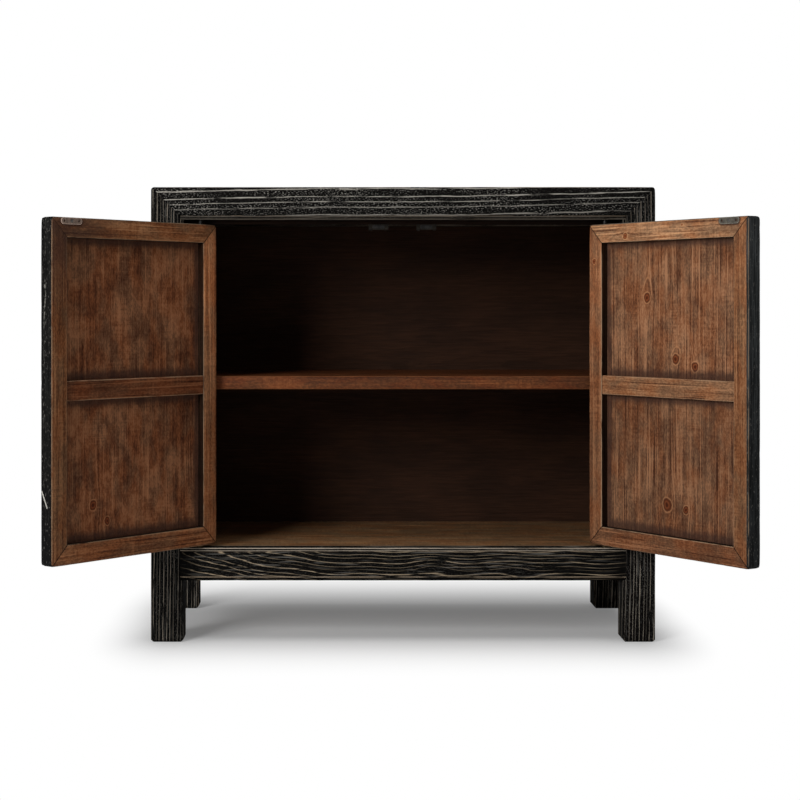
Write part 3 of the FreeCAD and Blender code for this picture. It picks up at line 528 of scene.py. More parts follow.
def knot_marks(x, y, knots):
    """The discs of knots, their dark hearts and rims, and the pale rings and flames round them."""
    discs, eyes, flames = 0, 0, 0
    for knot in knots:
        along, across = x - knot.along, y - knot.across
        near = (along * along * 0.8 + across * across) ** 0.5 * (1 / knot.size)
        discs = (1 - near.smooth(0.9, 1.1)).most(discs)
        rim = (1 - abs(near - 0.92).smooth(0.06, 0.3)) * 0.75
        eyes = (1 - near.smooth(0.3, 0.55)).most(rim).most(eyes)
        flames = ((1 - abs(near - 1.3).smooth(0.04, 0.22)) * 0.7).most(flames)
        if knot.flame:
            top = knot.flame * knot.size
            upward = (along * (1 / top)).most(along * (-0.6 / knot.size))
            beside = across * (1 / (1.7 * knot.size)) + upward * upward * 0.25
            tear = (upward * upward + beside * beside) ** 0.5
            flame = (1 - abs(tear - 1).smooth(0.02, 0.11)) * along.smooth(0.0, knot.size)
            tail = (1 - abs(across + knot.size * 0.4).smooth(0.0004, 0.0016)) * along.smooth(top * 0.9, top)
            tail = tail * (1 - along.smooth(top * 1.2, top * 2.4))
            flames = (flame.most(tail) * 0.75).most(flames)
    return discs, eyes, flames


def stained_pine(grain, plank, log, stain, knots=(), blotched=1.0, lined=1.0):
    """Pine under a brown stain: flamed, hairy along the grain, blotched, rubbed and knotted."""
    x, flat, z = grain.split()
    y = part_grain(x, flat, knots)
    flow = x.join(y, z)
    ragged = fibres(flow, 0.006, 0.12, plank.seed)
    rings = ring_number(x, y, z, log) + (ragged - 0.5) * 0.5
    late = (rings % 1) ** 3
    clouds = fibres(grain, 0.05, 0.07, plank.seed + 2).smooth(0.32, 0.68)
    blotches = fibres(grain, 0.016, 0.022, plank.seed + 8).smooth(0.32, 0.68)
    bands = fibres(flow, 0.014, 0.5, plank.seed + 4).smooth(0.34, 0.66)
    hairs = fibres(flow, 0.008, 0.3, plank.seed + 6, 4.0, 0.75).smooth(0.34, 0.66)
    dark_hairs = fibres(flow, 0.003, 0.16, plank.seed + 10, 0.0).smooth(0.66, 0.74)
    pale_hairs = fibres(flow, 0.0032, 0.18, plank.seed + 14, 0.0).smooth(0.66, 0.74)
    grit = fibres(grain, 0.003, 0.006, plank.seed + 13, 1.0).smooth(0.34, 0.66)
    warm = fibres(grain, 0.03, 0.06, plank.seed + 17).smooth(0.36, 0.64)
    planed = fibres(grain, 0.05, 0.0032, plank.seed + 18, 1.0).smooth(0.4, 0.6)
    planed = planed * fibres(grain, 0.04, 0.06, plank.seed + 20).smooth(0.45, 0.65)
    tone = (clouds - 0.5) * (0.26 * blotched) + (blotches - 0.5) * (0.16 * blotched) + (bands - 0.5) * 0.16
    tone = tone + (hairs * 0.42 + pale_hairs * 0.65 - dark_hairs * 0.55 - late * 0.14) * lined + grit * 0.26
    tone = tone + (0.4 - 0.17 * lined) + (planed - 0.25) * 0.16
    hue = warm.mix(tint(stain, 0.87, 0.99, 1.12), tint(stain, 1.15, 0.98, 0.86))
    skin = (tone * 2).mix(tint(stain, 0.34, 0.26, 0.26), hue)
    skin = (tone * 2 - 1).mix(skin, tint(stain, 1.95, 2.15, 2.3))
    if knots:
        discs, eyes, flames = knot_marks(x, flat + (blotches - 0.5) * 0.003, knots)
        skin = (flames * 0.8).mix(skin, tint(stain, 2.4, 2.6, 2.6))
        skin = (discs * 0.9).mix(skin, tint(stain, 1.0, 0.62, 0.45))
        skin = (eyes * 0.9).mix(skin, tint(stain, 0.3, 0.16, 0.12))
    return Coat(skin, hairs.shade(0.5, 0.66), hairs * 0.5 + grit * 0.3 - late * 0.4 - dark_hairs * 0.4)


def dark_stain(grain, plank, share=1.0):
    """The dark stain of the inside of the case, with its grain nearly drowned."""
    clouds = fibres(grain, 0.06, 0.14, plank.seed + 2).smooth(0.3, 0.7)
    hairs = fibres(grain, 0.003, 0.06, plank.seed + 6, 2.0).smooth(0.3, 0.7)
    stain = tint(bpy.context.scene.cabinet_stain.inside, share)
    x, y, z = grain.split()
    rings = ring_number(x, y, z, flat_log(plank.node, DARK_RINGS)) + (clouds - 0.5) * 0.6
    hue = clouds.mix(tint(stain, 0.8, 0.82, 0.85), tint(stain, 1.2, 1.15, 1.1))
    hue = hue.dim(hairs.shade(0.82, 1.18) - rings % 1 * 0.16 + 0.08)
    return Coat(hue, hairs.shade(0.6, 0.75), hairs)


def show_coat(start, coat, gloss, strength=0.5, depth=0.0012, metallic=0.0):
    """Ends a material's tree with a coat, its fine relief shaded as strongly and as deep as given."""
    bump = start.node("ShaderNodeBump", inputs={
        "Strength": strength, "Distance": depth, "Height": coat.height})
    shader = start.node("ShaderNodeBsdfPrincipled", inputs={
        "Base Color": coat.colour, "Roughness": coat.roughness, "Metallic": metallic, "Normal": bump,
        "Specular IOR Level": gloss})
    start.node("ShaderNodeOutputMaterial", inputs={"Surface": shader})


def plank_material(plank, coat_of, gloss=BOARD_GLOSS):
    """A material of a plank from the coat that a function gives for its grain."""
    material = new_material(plank.node)
    grain = plank.wire(material.node_tree)
    show_coat(grain, coat_of(grain), gloss)
    return material


def metal_material(name, tone, roughness, metallic=1.0, plate=None):
    """A metal with tarnish in patches and fine scratches; a plate's rim is rubbed bright and carries a
    painted highlight.
    """
    material = new_material(name)
    start = first_wire(material.node_tree)
    patches = fibres(start, 0.006, 0.006, 1.0)
    specks = fibres(start, 0.0011, 0.0011, 2.0)
    skin = patches.smooth(0.35, 0.7).mix(tint(tone, 0.55), tone)
    skin = (specks.smooth(0.55, 0.75) * 0.6).mix(skin, tint(tone, 0.35))
    if plate:
        x, y, _ = plate.wire(material.node_tree).split()
        # A painted highlight along the plate's rim, together with rubbing
        rim = plate_gap(x, y, plate, plate).smooth(-0.0016, -0.0006)
        skin = (rim * 0.8).mix(skin, tint(tone, 1.9, 1.95, 2.0))
    coat = Coat(skin, patches.shade(roughness + 0.15, roughness - 0.1), specks)
    show_coat(start, coat, 0.5 if metallic else 0.1, 0.25, 0.0002, metallic)
    return material


def dress(node, material):
    """Gives a node its finish."""
    slots = frame["nodes"][node].data.materials
    slots.clear()
    slots.append(material)


# Worn wood

def cut_net(shape, plank):
    """Cuts the outer skin of a member into a fine net."""
    geometry = []
    for face in shape.faces:
        place = plank.turn @ face.calc_center_median() - Vector(plank.middle)
        if min(plank.half[1] - abs(place.y), plank.half[2] - abs(place.z)) < SKIN_DEPTH:
            geometry += [face, *face.edges, *face.verts]
    geometry = list(dict.fromkeys(geometry))
    for axis, step in enumerate(NET):
        size = plank.high[axis] - plank.low[axis]
        count = round(size / step)
        for index in range(1, count):
            place = plank.turn[axis] * float(plank.low[axis] + size * index / count)
            geometry = bmesh.ops.bisect_plane(shape, geom=geometry, dist=SNAP, plane_co=place,
                                              plane_no=plank.turn[axis])["geom"]


def wear_down(mesh, plank, log, relief, wear):
    """Brushes the soft wood of a cut member down between its rings and wears its arrises."""
    places = np.empty(len(mesh.vertices) * 3)
    facing = np.empty(len(mesh.vertices) * 3)
    mesh.vertices.foreach_get("co", places)
    mesh.vertices.foreach_get("normal", facing)
    turn = np.array(plank.turn)
    places = places.reshape(-1, 3) @ turn.T - plank.middle
    facing = facing.reshape(-1, 3) @ turn.T
    facing[:, 0] = 0
    x, y, z = places.T
    across, through = plank.half[1] - abs(y), plank.half[2] - abs(z)
    arris = np.clip(1 - abs(np.maximum(across, through)) / ARRIS_REACH, 0, 1)
    uneven = np.array([noise.noise(place) for place in places * UNEVEN_RATE + (plank.seed, 0, 0)])
    dents = np.array([noise.noise(place) for place in places * DENT_RATE + (0, plank.seed, 0)])
    drop = relief * (1 - late_wood(ring_number(x, y, z, log), 1.5))
    outward = x if plank.foot else abs(x)
    ends = 1 + END_WEAR * np.exp(np.minimum(outward - plank.half[0], 0) / END_REACH)
    drop += wear * ends * arris * np.clip(0.45 + uneven * 0.5 + np.clip(dents - 0.3, 0, 1) * 1.6, 0, 1.4)
    drop *= np.minimum(across, through) < SKIN_DEPTH
    places -= facing * drop[:, None]
    places = (places + plank.middle) @ turn
    if frame["nodes"][plank.node]["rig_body"] == "carcass":
        places = knock_corners(places)
    mesh.vertices.foreach_set("co", places.ravel())


def knock_corners(places):
    """Knocks places near the top corners of the case inwards, onto a round that fades along the edges."""
    members = [f"{end}_{side}_post" for end in ENDS for side in SIDES] + ["top_front_rail"]
    case = np.array([vertex.co for member in members for vertex in frame["nodes"][member].data.vertices])
    low, high = case.min(0), case.max(0)
    inward = np.sign((low + high) / 2 - places)
    inward[:, 2] = -1
    gaps = np.minimum(places - low, high - places)
    gaps[:, 2] = high[2] - places[:, 2]
    gaps = np.maximum(gaps, 0)
    radius = KNOCK * np.exp(-gaps.max(1) / KNOCK_FADE)[:, None]
    depth = np.clip(radius - gaps, 0, None)
    from_round = np.maximum(np.linalg.norm(depth, axis=1)[:, None], 1e-9)
    return places + inward * depth * (1 - np.minimum(radius / from_round, 1))


def new_object(name, data):
    """An object in the scene that holds some data."""
    added = bpy.data.objects.new(name, data)
    bpy.context.scene.collection.objects.link(added)
    return added


def worn_member(plank, log, material, relief, wear):
    shape = bmesh.new()
    shape.from_mesh(frame["nodes"][plank.node].data)
    bmesh.ops.remove_doubles(shape, verts=shape.verts, dist=WELD)
    bmesh.ops.dissolve_limit(shape, angle_limit=FLAT, verts=shape.verts, edges=shape.edges)
    cut_net(shape, plank)
    shape.normal_update()
    mesh = bpy.data.meshes.new(plank.node + "_worn")
    shape.to_mesh(mesh)
    shape.free()
    wear_down(mesh, plank, log, relief, wear)
    mesh.shade_smooth()
    mesh.set_sharp_from_angle(angle=SHARP)
    mesh.materials.append(material)
    piece = new_object(plank.node + "_worn", mesh)
    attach(piece, frame["nodes"][plank.node]["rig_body"])
    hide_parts(plank.node)


# Pieces

def paint_plank(node, along, across, log, strength=1.0, speckle=0.6, outer=0, foot=None, bead=0, knots=(),
                bare=None, inner=0):
    """Paints a member black and wears it.

    A member with an outer edge has mitres there, and one with a bead has it on the given side. A rear post
    with an inner side is stained there and on its front, above its foot.
    """
    tones = bpy.context.scene.cabinet_paint
    plank = Plank(node, along, across, foot)

    def coat_of(grain):
        coat = brushed_paint(grain, plank, log, strength, speckle, knots, bare)
        if inner:
            x, y, z = grain.split()
            gap = (plank.half[1] - y * inner).least(z + plank.half[2])
            inside = (1 - gap.smooth(0.001, 0.002)) * x.smooth(plank.foot.top, plank.foot.top + 0.01)
            coat = lay(inside, coat, dark_stain(grain, plank))
        if outer:
            coat = coat.dim(1 - seam(grain, plank, outer) * 0.8)
        if bead:
            x, y, _ = grain.split()
            near_joint = 1 - (plank.half[0] - TENON - abs(x)).smooth(-0.002, 0.05)
            place = y * bead - (plank.half[1] - BEAD_WIDTH)
            rubbed = 1 - abs(place + 0.001).smooth(0.0006, 0.0015)
            rubbed = rubbed * fibres(grain, 0.01, 0.05, plank.seed + 16).smooth(0.3, 0.5)
            coat = coat.rub(near_joint * 0.85, tones.paint)
            coat = coat.dim(place.smooth(0.0, 0.0006).shade(1.0, 0.4)).rub(rubbed * 0.6, tones.worn)
        return coat

    worn_member(plank, log, plank_material(plank, coat_of, PAINT_GLOSS), tones.relief, tones.wear)


def stain_plank(node, stain):
    """Stains a level board brown all over, with its arrises pale: stain rubbed thin, and a painted highlight
    along them.
    """
    plank = Plank(node, RIGHT, BACK)
    log = flat_log(node, BOARD_RINGS)
    pale = tint(stain, 1.9, 2.3, 2.7)

    def coat_of(grain):
        coat = stained_pine(grain, plank, log, stain, blotched=0.6, lined=0.45)
        # Pale arrises: stain rubbed thin, and a painted highlight along the rounded edges
        rubbed = arrises(grain, plank, 0.0006, 0.0016)
        rubbed = rubbed * fibres(grain, 0.008, 0.06, plank.seed + 9).smooth(0.3, 0.55)
        return coat.rub(rubbed * 0.8, pale)

    dress(node, plank_material(plank, coat_of))


def darken_plank(node, along, across, share=1.0):
    """Stains a board dark all over, by a share of the dark stain's tone."""
    plank = Plank(node, along, across)
    dress(node, plank_material(plank, lambda grain: dark_stain(grain, plank, share), DARK_GLOSS))


class CABINET_OT_posts(bpy.types.Operator):
    """Paint the four corner posts"""

    bl_idname = "cabinet.posts"
    bl_label = "Posts"

    # How strongly the grain shows on each post; on the rear posts it is raised as painted light that
    # brightens them
    grain_and_light_strengths = {"front_left": 0.73, "front_right": 0.96, "rear_left": 1.0, "rear_right": 1.0}
    # The side of a rear post that faces the inside of the case
    inner = {"rear_left": 1, "rear_right": -1}

    def execute(self, context):
        for corner, strength in self.grain_and_light_strengths.items():
            node = f"{corner}_post"
            log = straight_log(node, POST_RINGS)
            paint_plank(node, UP, RIGHT, log, strength, 0.3, foot=FOOT_TOP, inner=self.inner.get(corner, 0))
        return {"FINISHED"}


class CABINET_OT_top_rails(bpy.types.Operator):
    """Paint the mitred rails of the top frame"""

    bl_idname = "cabinet.top_rails"
    bl_label = "Top rails"

    def execute(self, context):
        front = Log(0.33, 0.05, -0.014, 0.0, 0.0016, 0.7, 0.4, TOP_RAIL_RINGS)
        rear = straight_log("top_rear_rail", TOP_RAIL_RINGS, 0.2)
        paint_plank("top_front_rail", RIGHT, DOWN, front, 1.0, 1.0, outer=-1, bare=(0.44, 0.41, 0.36))
        paint_plank("top_rear_rail", RIGHT, DOWN, rear, outer=-1)
        for side in SIDES:
            node = f"top_{side}_rail"
            paint_plank(node, BACK, UP, straight_log(node, TOP_RAIL_RINGS, 0.2), outer=1)
        return {"FINISHED"}


class CABINET_OT_bottom_rails(bpy.types.Operator):
    """Paint the rails that join the legs"""

    bl_idname = "cabinet.bottom_rails"
    bl_label = "Bottom rails"

    def execute(self, context):
        front = Log(-0.08, -0.038, 0.0, 0.0, 0.0015, 0.13, 2.2, BOTTOM_RAIL_RINGS, 0.26, -0.1)
        rear = straight_log("bottom_rear_rail", BOTTOM_RAIL_RINGS)
        knots = (Knot(0.063, 0.014, 0.009), Knot(0.223, 0.012, 0.008))
        bare = (0.285, 0.222, 0.15)
        paint_plank("bottom_front_rail", RIGHT, DOWN, front, 0.96, 0.1, bead=1, knots=knots, bare=bare)
        paint_plank("bottom_rear_rail", RIGHT, DOWN, rear, 1.0, 0.3, bead=1)
        for side in SIDES:
            node = f"bottom_{side}_rail"
            paint_plank(node, BACK, UP, straight_log(node, BOTTOM_RAIL_RINGS), 1.0, 0.3, bead=-1)
        return {"FINISHED"}


class CABINET_OT_linings(bpy.types.Operator):
    """Paint the thin linings of the doorway"""

    bl_idname = "cabinet.linings"
    bl_label = "Linings"

    def execute(self, context):
        views = {"head_lining": (RIGHT, DOWN), "sill_lining": (RIGHT, DOWN),
                 "left_jamb_lining": (UP, RIGHT), "right_jamb_lining": (UP, RIGHT)}
        for node, (along, across) in views.items():
            plank = Plank(node, along, across)
            dress(node, plank_material(plank, lambda grain: self.rubbed_paint_and_doorway_shade(grain, plank), PAINT_GLOSS))
        return {"FINISHED"}

    def rubbed_paint_and_doorway_shade(self, grain, plank):
        """Brushed paint, rubbed through along the arrises; on the head and the jambs it is darkened as
        painted shade inside the doorway.
        """
        coat = brushed_paint(grain, plank, straight_log(plank.node, LINING_RINGS), 0.7)
        rubbed = arrises(grain, plank, 0.0008, 0.002)
        rubbed = rubbed * fibres(grain, 0.01, 0.08, plank.seed + 11).smooth(0.3, 0.5)
        coat = coat.rub(rubbed * 0.7, bpy.context.scene.cabinet_paint.bare)
        # The head and jamb linings are darkened to three tenths: painted shade inside the doorway
        return coat.dim(1.0 if plank.node == "sill_lining" else 0.3)


class CABINET_OT_case_panels(bpy.types.Operator):
    """Paint the case's boards outside and stain them inside"""

    bl_idname = "cabinet.case_panels"
    bl_label = "Case panels"

    def execute(self, context):
        # Along the grain, across it, and the side of the thickness that faces inwards
        views = {
            "left_side_panel": (UP, BACK, -1),
            "right_side_panel": (UP, BACK, 1),
            "top_panel": (RIGHT, BACK, -1),
        }
        for node, (along, across, inner) in views.items():
            plank = Plank(node, along, across)
            dress(node, plank_material(plank, lambda grain: lay(
                (grain.split()[2] * inner).smooth(-0.001, 0.001),
                brushed_paint(grain, plank, flat_log(node, BOARD_RINGS)),
                dark_stain(grain, plank))))
        darken_plank("back_panel", RIGHT, UP)
        return {"FINISHED"}


class CABINET_OT_boards(bpy.types.Operator):
    """Stain the shelf and the floor"""

    bl_idname = "cabinet.boards"
    bl_label = "Shelf and floor"

    def execute(self, context):
        stain = context.scene.cabinet_stain.board
        stain_plank("shelf", stain)
        stain_plank("floor_board", tint(stain, 1.8, 3.15, 4.8))
        return {"FINISHED"}


class CABINET_OT_strips(bpy.types.Operator):
    """Stain the hidden cleats, battens and bearers"""

    bl_idname = "cabinet.strips"
    bl_label = "Hidden strips"

    def execute(self, context):
        along = {
            "left_shelf_cleat": BACK, "right_shelf_cleat": BACK, "back_shelf_cleat": RIGHT,
            "left_top_batten": BACK, "right_top_batten": BACK, "floor_bearer": BACK, "catch_rail": RIGHT,
        }
        for node, direction in along.items():
            # The catch rail takes only three tenths of the dark stain: painted shade at the top of the
            # doorway
            darken_plank(node, direction, UP, 0.3 if node == "catch_rail" else 1.0)
        return {"FINISHED"}


class CABINET_OT_door_frames(bpy.types.Operator):
    """Finish the door frames: brown inside, black on their edges and outside"""

    bl_idname = "cabinet.door_frames"
    bl_label = "Door frames"

    # How each member took the stain, as shares of red, green and blue. The shares also hold painted light
    # and shade, which darken the members of the less lit left door
    stain_and_light_shares = {
        "left_door_hinge_stile": (0.9, 0.77, 0.7), "left_door_meeting_stile": (0.55, 0.48, 0.43),
        "left_door_top_rail": (0.74, 0.66, 0.6), "left_door_middle_rail": (0.43, 0.31, 0.27),
        "left_door_bottom_rail": (0.7, 0.58, 0.51),
        "right_door_hinge_stile": (0.79, 0.7, 0.68), "right_door_meeting_stile": (0.8, 0.73, 0.69),
        "right_door_top_rail": (1.27, 1.28, 1.3), "right_door_middle_rail": (0.88, 0.84, 0.84),
        "right_door_bottom_rail": (0.6, 0.51, 0.49),
    }
    # How a stile pales from its foot to its head, as shares of its stain: painted light from above, together
    # with wear
    fades = {"left_door_hinge_stile": (0.92, 1.45), "right_door_hinge_stile": (0.86, 1.3),
             "right_door_meeting_stile": (0.8, 1.12)}
    # How much dirt the soiled members hold
    dirt = {"left_door_meeting_stile": 0.75, "left_door_top_rail": 0.75,
            "right_door_meeting_stile": 0.15, "right_door_top_rail": 0.12}
    # Places of the small knots, from the middle of a member
    knots = {"right_door_top_rail": (Knot(0.105, 0.007, 0.0045), Knot(-0.045, -0.008, 0.002)),
             "right_door_hinge_stile": (Knot(0.235, 0.003, 0.004),)}
    # Both ends of a thin white stroke on the edge of the left door, along the stile and through it from its
    # middle
    white_stroke = ((-0.1745, -0.0116), (-0.2025, 0.0025))
    # The black of the edges of each door, and how far it laps onto the meeting stiles and the top rails
    # The right door's edges are given a much paler black: painted light and sheen
    edges = {"left": (0.0022, 0.0023, 0.0021), "right": (0.0165, 0.0178, 0.0182)}
    laps = {"left": 0.0, "right": 0.0045}
    top_lap = 0.0012

    def execute(self, context):
        for side in SIDES:
            hinge = -1 if side == "left" else 1
            plate = f"{side}_door_strike_plate"
            self.member(f"{side}_door_hinge_stile", UP, RIGHT, hinge)
            self.member(f"{side}_door_meeting_stile", UP, RIGHT, -hinge, self.laps[side], soiled=1)
            self.member(f"{side}_door_top_rail", RIGHT, DOWN, -1, self.top_lap, -hinge, plate)
            self.member(f"{side}_door_bottom_rail", RIGHT, DOWN, 1)
            self.member(f"{side}_door_middle_rail", RIGHT, DOWN)
        return {"FINISHED"}

    def member(self, node, along, across, outer=0, lap=0.0, soiled=0, plate=None):
        """Finishes a member of a door frame.

        Its outer edge lies on the given side and its paint laps onto its face. Dirt gathers at its soiled
        end, and a painted shadow darkens the wood round the plate on it.
        """
        plank = Plank(node, along, across)
        log = straight_log(node, DOOR_FRAME_RINGS)
        paint = bpy.context.scene.cabinet_paint
        stains = bpy.context.scene.cabinet_stain
        stain = tint(stains.frame, *self.stain_and_light_shares[node])
        side = node.split("_")[0]

        def coat_of(grain):
            x, y, z = grain.split()
            coat = stained_pine(grain, plank, log, stain, self.knots.get(node, ()), 0.6, 0.65)
            # Painted light and wear: the stile grows paler towards its head
            if node in self.fades:
                coat = coat.dim(x.smooth(-0.1, 0.25).shade(*self.fades[node]))
            ragged = fibres(grain, 0.006, 0.04, plank.seed + 12).smooth(0.32, 0.52)
            dirt = 0
            if soiled:
                dirt = (x * soiled).smooth(plank.half[0] - 0.2, plank.half[0] - 0.03) * self.dirt[node]
                dirt = dirt * fibres(grain, 0.02, 0.03, plank.seed + 15).smooth(0.2, 0.55)
                coat = coat.rub(dirt, stains.soil_and_shade)
            if plate:
                # Painted shadow of the strike plate: dark round its outline and in its screw holes
                plate_shadow = 1 - plate_gap(x, y, plank, Plank(plate, along, across)).smooth(0.0, 0.005)
                coat = coat.rub(plate_shadow * 0.85, stains.soil_and_shade)
            if not outer:
                rubbed = arrises(grain, plank, 0.0008, 0.0026)
                return coat.rub(rubbed * ragged * 0.4, stains.pale)
            sunk = plank.half[2] - z
            edge = plank.half[1] - y * outer
            within = 2 * plank.half[1] - edge
            face = (1 - sunk.smooth(0.0014, 0.0024)) * edge.smooth(lap, lap + 0.0008)
            reveal = edge.smooth(0.006, 0.008) * z.smooth(0.0, 0.001)
            # The side of the member that faces the panel is darkened nearly to black: painted shade in the
            # recess round the panel
            coat = coat.dim(within.smooth(0.0002, 0.0012).shade(0.06, 1.0))
            coat = lay(face.most(reveal), self.black(grain, plank, log, side), coat)
            if node == "left_door_meeting_stile":
                coat = coat.rub(stroke(x, z, self.white_stroke) * 0.75, paint.scuff)
            # Pale lines along the arrises: stain rubbed thin, and a painted highlight, stronger on the
            # better lit right door
            line = 1 - edge.most(sunk).smooth(0.0008, 0.0022)
            inside = 1 - within.most(sunk).smooth(0.0008, 0.0024)
            coat = coat.rub(line * ragged * 0.8, tint(stains.pale, 0.55))
            coat = coat.rub(inside * ragged * (0.3 if side == "left" else 0.55), stains.pale)
            return coat.dim(1 - seam(grain, plank, outer) * (1 - dirt * 0.6) * 0.85)

        material = plank_material(plank, coat_of, DOOR_GLOSS)
        worn_member(plank, log, material, paint.relief * 0.4, paint.wear * 0.8)

    def black(self, grain, plank, log, side):
        """The black of a member: brushed outside, and smooth on its edges, with scuffs where it is held."""
        x, _, z = grain.split()
        held = x.smooth(0.1, 0.16) * (1 - x.smooth(0.23, 0.26))
        scuffed = held.shade(0.1, 0.75) * (1.0 if side == "left" else 0.2)
        outside = 1 - (z + plank.half[2]).smooth(0.0012, 0.002)
        return lay(outside, edge_paint(grain, plank, self.edges[side], scuffed),
                   brushed_paint(grain, plank, log, 0.8, 0.5))


def stroke(x, z, ends):
    """One on a thin straight stroke between two places."""
    (start_x, start_z), (end_x, end_z) = ends
    run, rise = end_x - start_x, end_z - start_z
    share = ((x - start_x) * run + (z - start_z) * rise) * (1 / (run * run + rise * rise))
    share = share.most(0).least(1)
    aside, beyond = x - start_x - share * run, z - start_z - share * rise
    return 1 - ((aside * aside + beyond * beyond) ** 0.5).smooth(0.0008, 0.0018)


def plate_gap(x, y, plank, plate):
    """How far a place on a plank lies outside the outline of a round-ended plate."""
    along = (abs(x - (plate.middle[0] - plank.middle[0])) - (plate.half[0] - plate.half[1])).most(0)
    across = y - (plate.middle[1] - plank.middle[1])
    return (along * along + across * across) ** 0.5 - plate.half[1]


class CABINET_OT_door_panels(bpy.types.Operator):
    """Finish the door panels: brown inside with dark borders, black outside"""

    bl_idname = "cabinet.door_panels"
    bl_label = "Door panels"

    # Places of the knots, from the middle of each panel
    knots = {
        "left_door_panel": (Knot(-0.207, 0.097, 0.007), Knot(-0.238, 0.063, 0.006)),
        "right_door_panel": (Knot(0.165, 0.062, 0.0075, 5), Knot(0.053, -0.014, 0.0075, 3),
                             Knot(0.04, -0.0625, 0.007), Knot(-0.214, 0.009, 0.0095),
                             Knot(-0.219, -0.04, 0.006)),
    }

    def execute(self, context):
        # The left panel's darker shares are partly painted shade, as on the less lit left door
        self.panel("left", (0.77, 0.65, 0.59), low=0.96, clouded=1.7, lined=0.5)
        self.panel("right", (0.91, 0.86, 0.85), low=0.8, clouded=1.3, lined=0.85)
        return {"FINISHED"}

    def panel(self, side, shares, low, clouded, lined):
        """Finishes one panel, which the middle rail crosses, and which is darker by a share below it."""
        node = f"{side}_door_panel"
        plank = Plank(node, UP, RIGHT)
        log = flat_log(node, DOOR_PANEL_RINGS)
        stains = bpy.context.scene.cabinet_stain
        stain = tint(stains.panel, *shares)
        cross = Plank(f"{side}_door_middle_rail", RIGHT, DOWN).half[1]
        tall, wide = plank.half[0] - PANEL_HELD, plank.half[1] - PANEL_HELD

        def coat_of(grain):
            x, y, z = grain.split()
            # The panel is darkened along its border: painted shade in the recess beside the frame, together
            # with a darker stain
            border = (wide - abs(y)).least(tall - abs(x)).least(abs(x) - cross)
            border = border.least((x + tall) % (tall + cross) * 0.8)
            ragged = fibres(grain, 0.01, 0.03, plank.seed + 12)
            dark = 1 - (border + (ragged - 0.5) * 0.012).smooth(stains.border * 0.3, stains.border)
            brown = stained_pine(grain, plank, log, stain, self.knots[node], clouded, lined)
            brown = brown.dim(x.smooth(-0.01, 0.01).shade(low, 1.0)).rub(dark * 0.75, stains.soil_and_shade)
            return lay(z.smooth(-0.001, 0.001), brushed_paint(grain, plank, log, 0.8), brown)

        dress(node, plank_material(plank, coat_of, DOOR_GLOSS))


class CABINET_OT_fittings(bpy.types.Operator):
    """Finish the pivots, catches, strike plates and knobs"""

    bl_idname = "cabinet.fittings"
    bl_label = "Fittings"

    def execute(self, context):
        tones = context.scene.cabinet_metal
        steel = metal_material("steel", tones.steel, 0.4)
        bronze = metal_material("dark_bronze", tones.bronze, 0.45)
        iron = metal_material("blackened_iron", tones.iron, 0.5)
        knob = metal_material("rubbed_iron", tones.knob, 0.38)
        catch = metal_material("catch_metal", tones.catch, 0.65, 0.0)
        finishes = {"catch_screws": steel, "pivot_bushes": bronze, "pivot_collars": bronze}
        for side in SIDES:
            plate = Plank(f"{side}_door_strike_plate", RIGHT, DOWN)
            tone = tint(tones.plate, *((1.7, 1.35, 1.25) if side == "left" else (0.8, 0.8, 0.76)))
            finishes |= {
                f"{side}_catch_housing": catch, f"{side}_catch_magnet": iron,
                f"{side}_door_upper_pin": iron, f"{side}_door_lower_pin": iron,
                f"{side}_door_strike_screw": steel, f"{side}_door_knob": knob,
                plate.node: metal_material(plate.node, tone, 0.5, 0.3, plate),
            }
        for node, material in finishes.items():
            dress(node, material)
        return {"FINISHED"}


# Stage

WHITE = (1, 1, 1, 1)
FLOOR_SIZE = 12
# Where the cabinet shades the floor: the middle and half the width of the shade, its front and its back
SHADE_MIDDLE, SHADE_HALF = 0.452, 0.44
SHADE_FRONT, SHADE_BACK = 0.06, 0.3
# Place, target and size of each light
LIGHTS = {
    "key": ((-1.7, -2.9, 1.7), (0.45, 0.0, 0.45), 1.4),
    "fill": ((2.6, -2.6, 1.2), (0.45, 0.0, 0.45), 1.4),
    "top": ((0.45, -0.4, 3.2), (0.45, 0.1, 0.0), 2.2),
}


def make_floor():
    """A pale floor that melts into the white of the room away from the cabinet, with a painted shadow
    darkening its colour under the cabinet.
    """
    shape = bmesh.new()
    bmesh.ops.create_grid(shape, x_segments=1, y_segments=1, size=FLOOR_SIZE)
    mesh = bpy.data.meshes.new("floor")
    shape.to_mesh(mesh)
    shape.free()
    material = new_material("floor")
    place = first_wire(material.node_tree)
    x, y, _ = place.split()
    beside = (abs(x - SHADE_MIDDLE) - SHADE_HALF).most(0) * 2.5
    before = ((y - SHADE_BACK) * 0.7).most(SHADE_FRONT - y).most(0)
    away = (beside * beside + before * before) ** 0.5
    sight = first_wire(material.node_tree, "ShaderNodeLightPath", "Is Camera Ray")
    seen = (away.smooth(0.0, 0.42) * 0.85 + 0.15) * sight
    # Painted shadow: the floor's own colour is darker under the cabinet
    tone = away.smooth(0.0, 0.3).mix((0.6, 0.6, 0.6), (0.82, 0.82, 0.82))
    pale = place.node("ShaderNodeBsdfPrincipled", inputs={"Base Color": tone, "Roughness": 0.7})
    glow = place.node("ShaderNodeEmission", inputs={"Color": WHITE, "Strength": 1.0})
    both = place.node("ShaderNodeMixShader", inputs={0: seen, 1: pale, 2: glow})
    place.node("ShaderNodeOutputMaterial", inputs={"Surface": both})
    mesh.materials.append(material)
    new_object("floor", mesh)


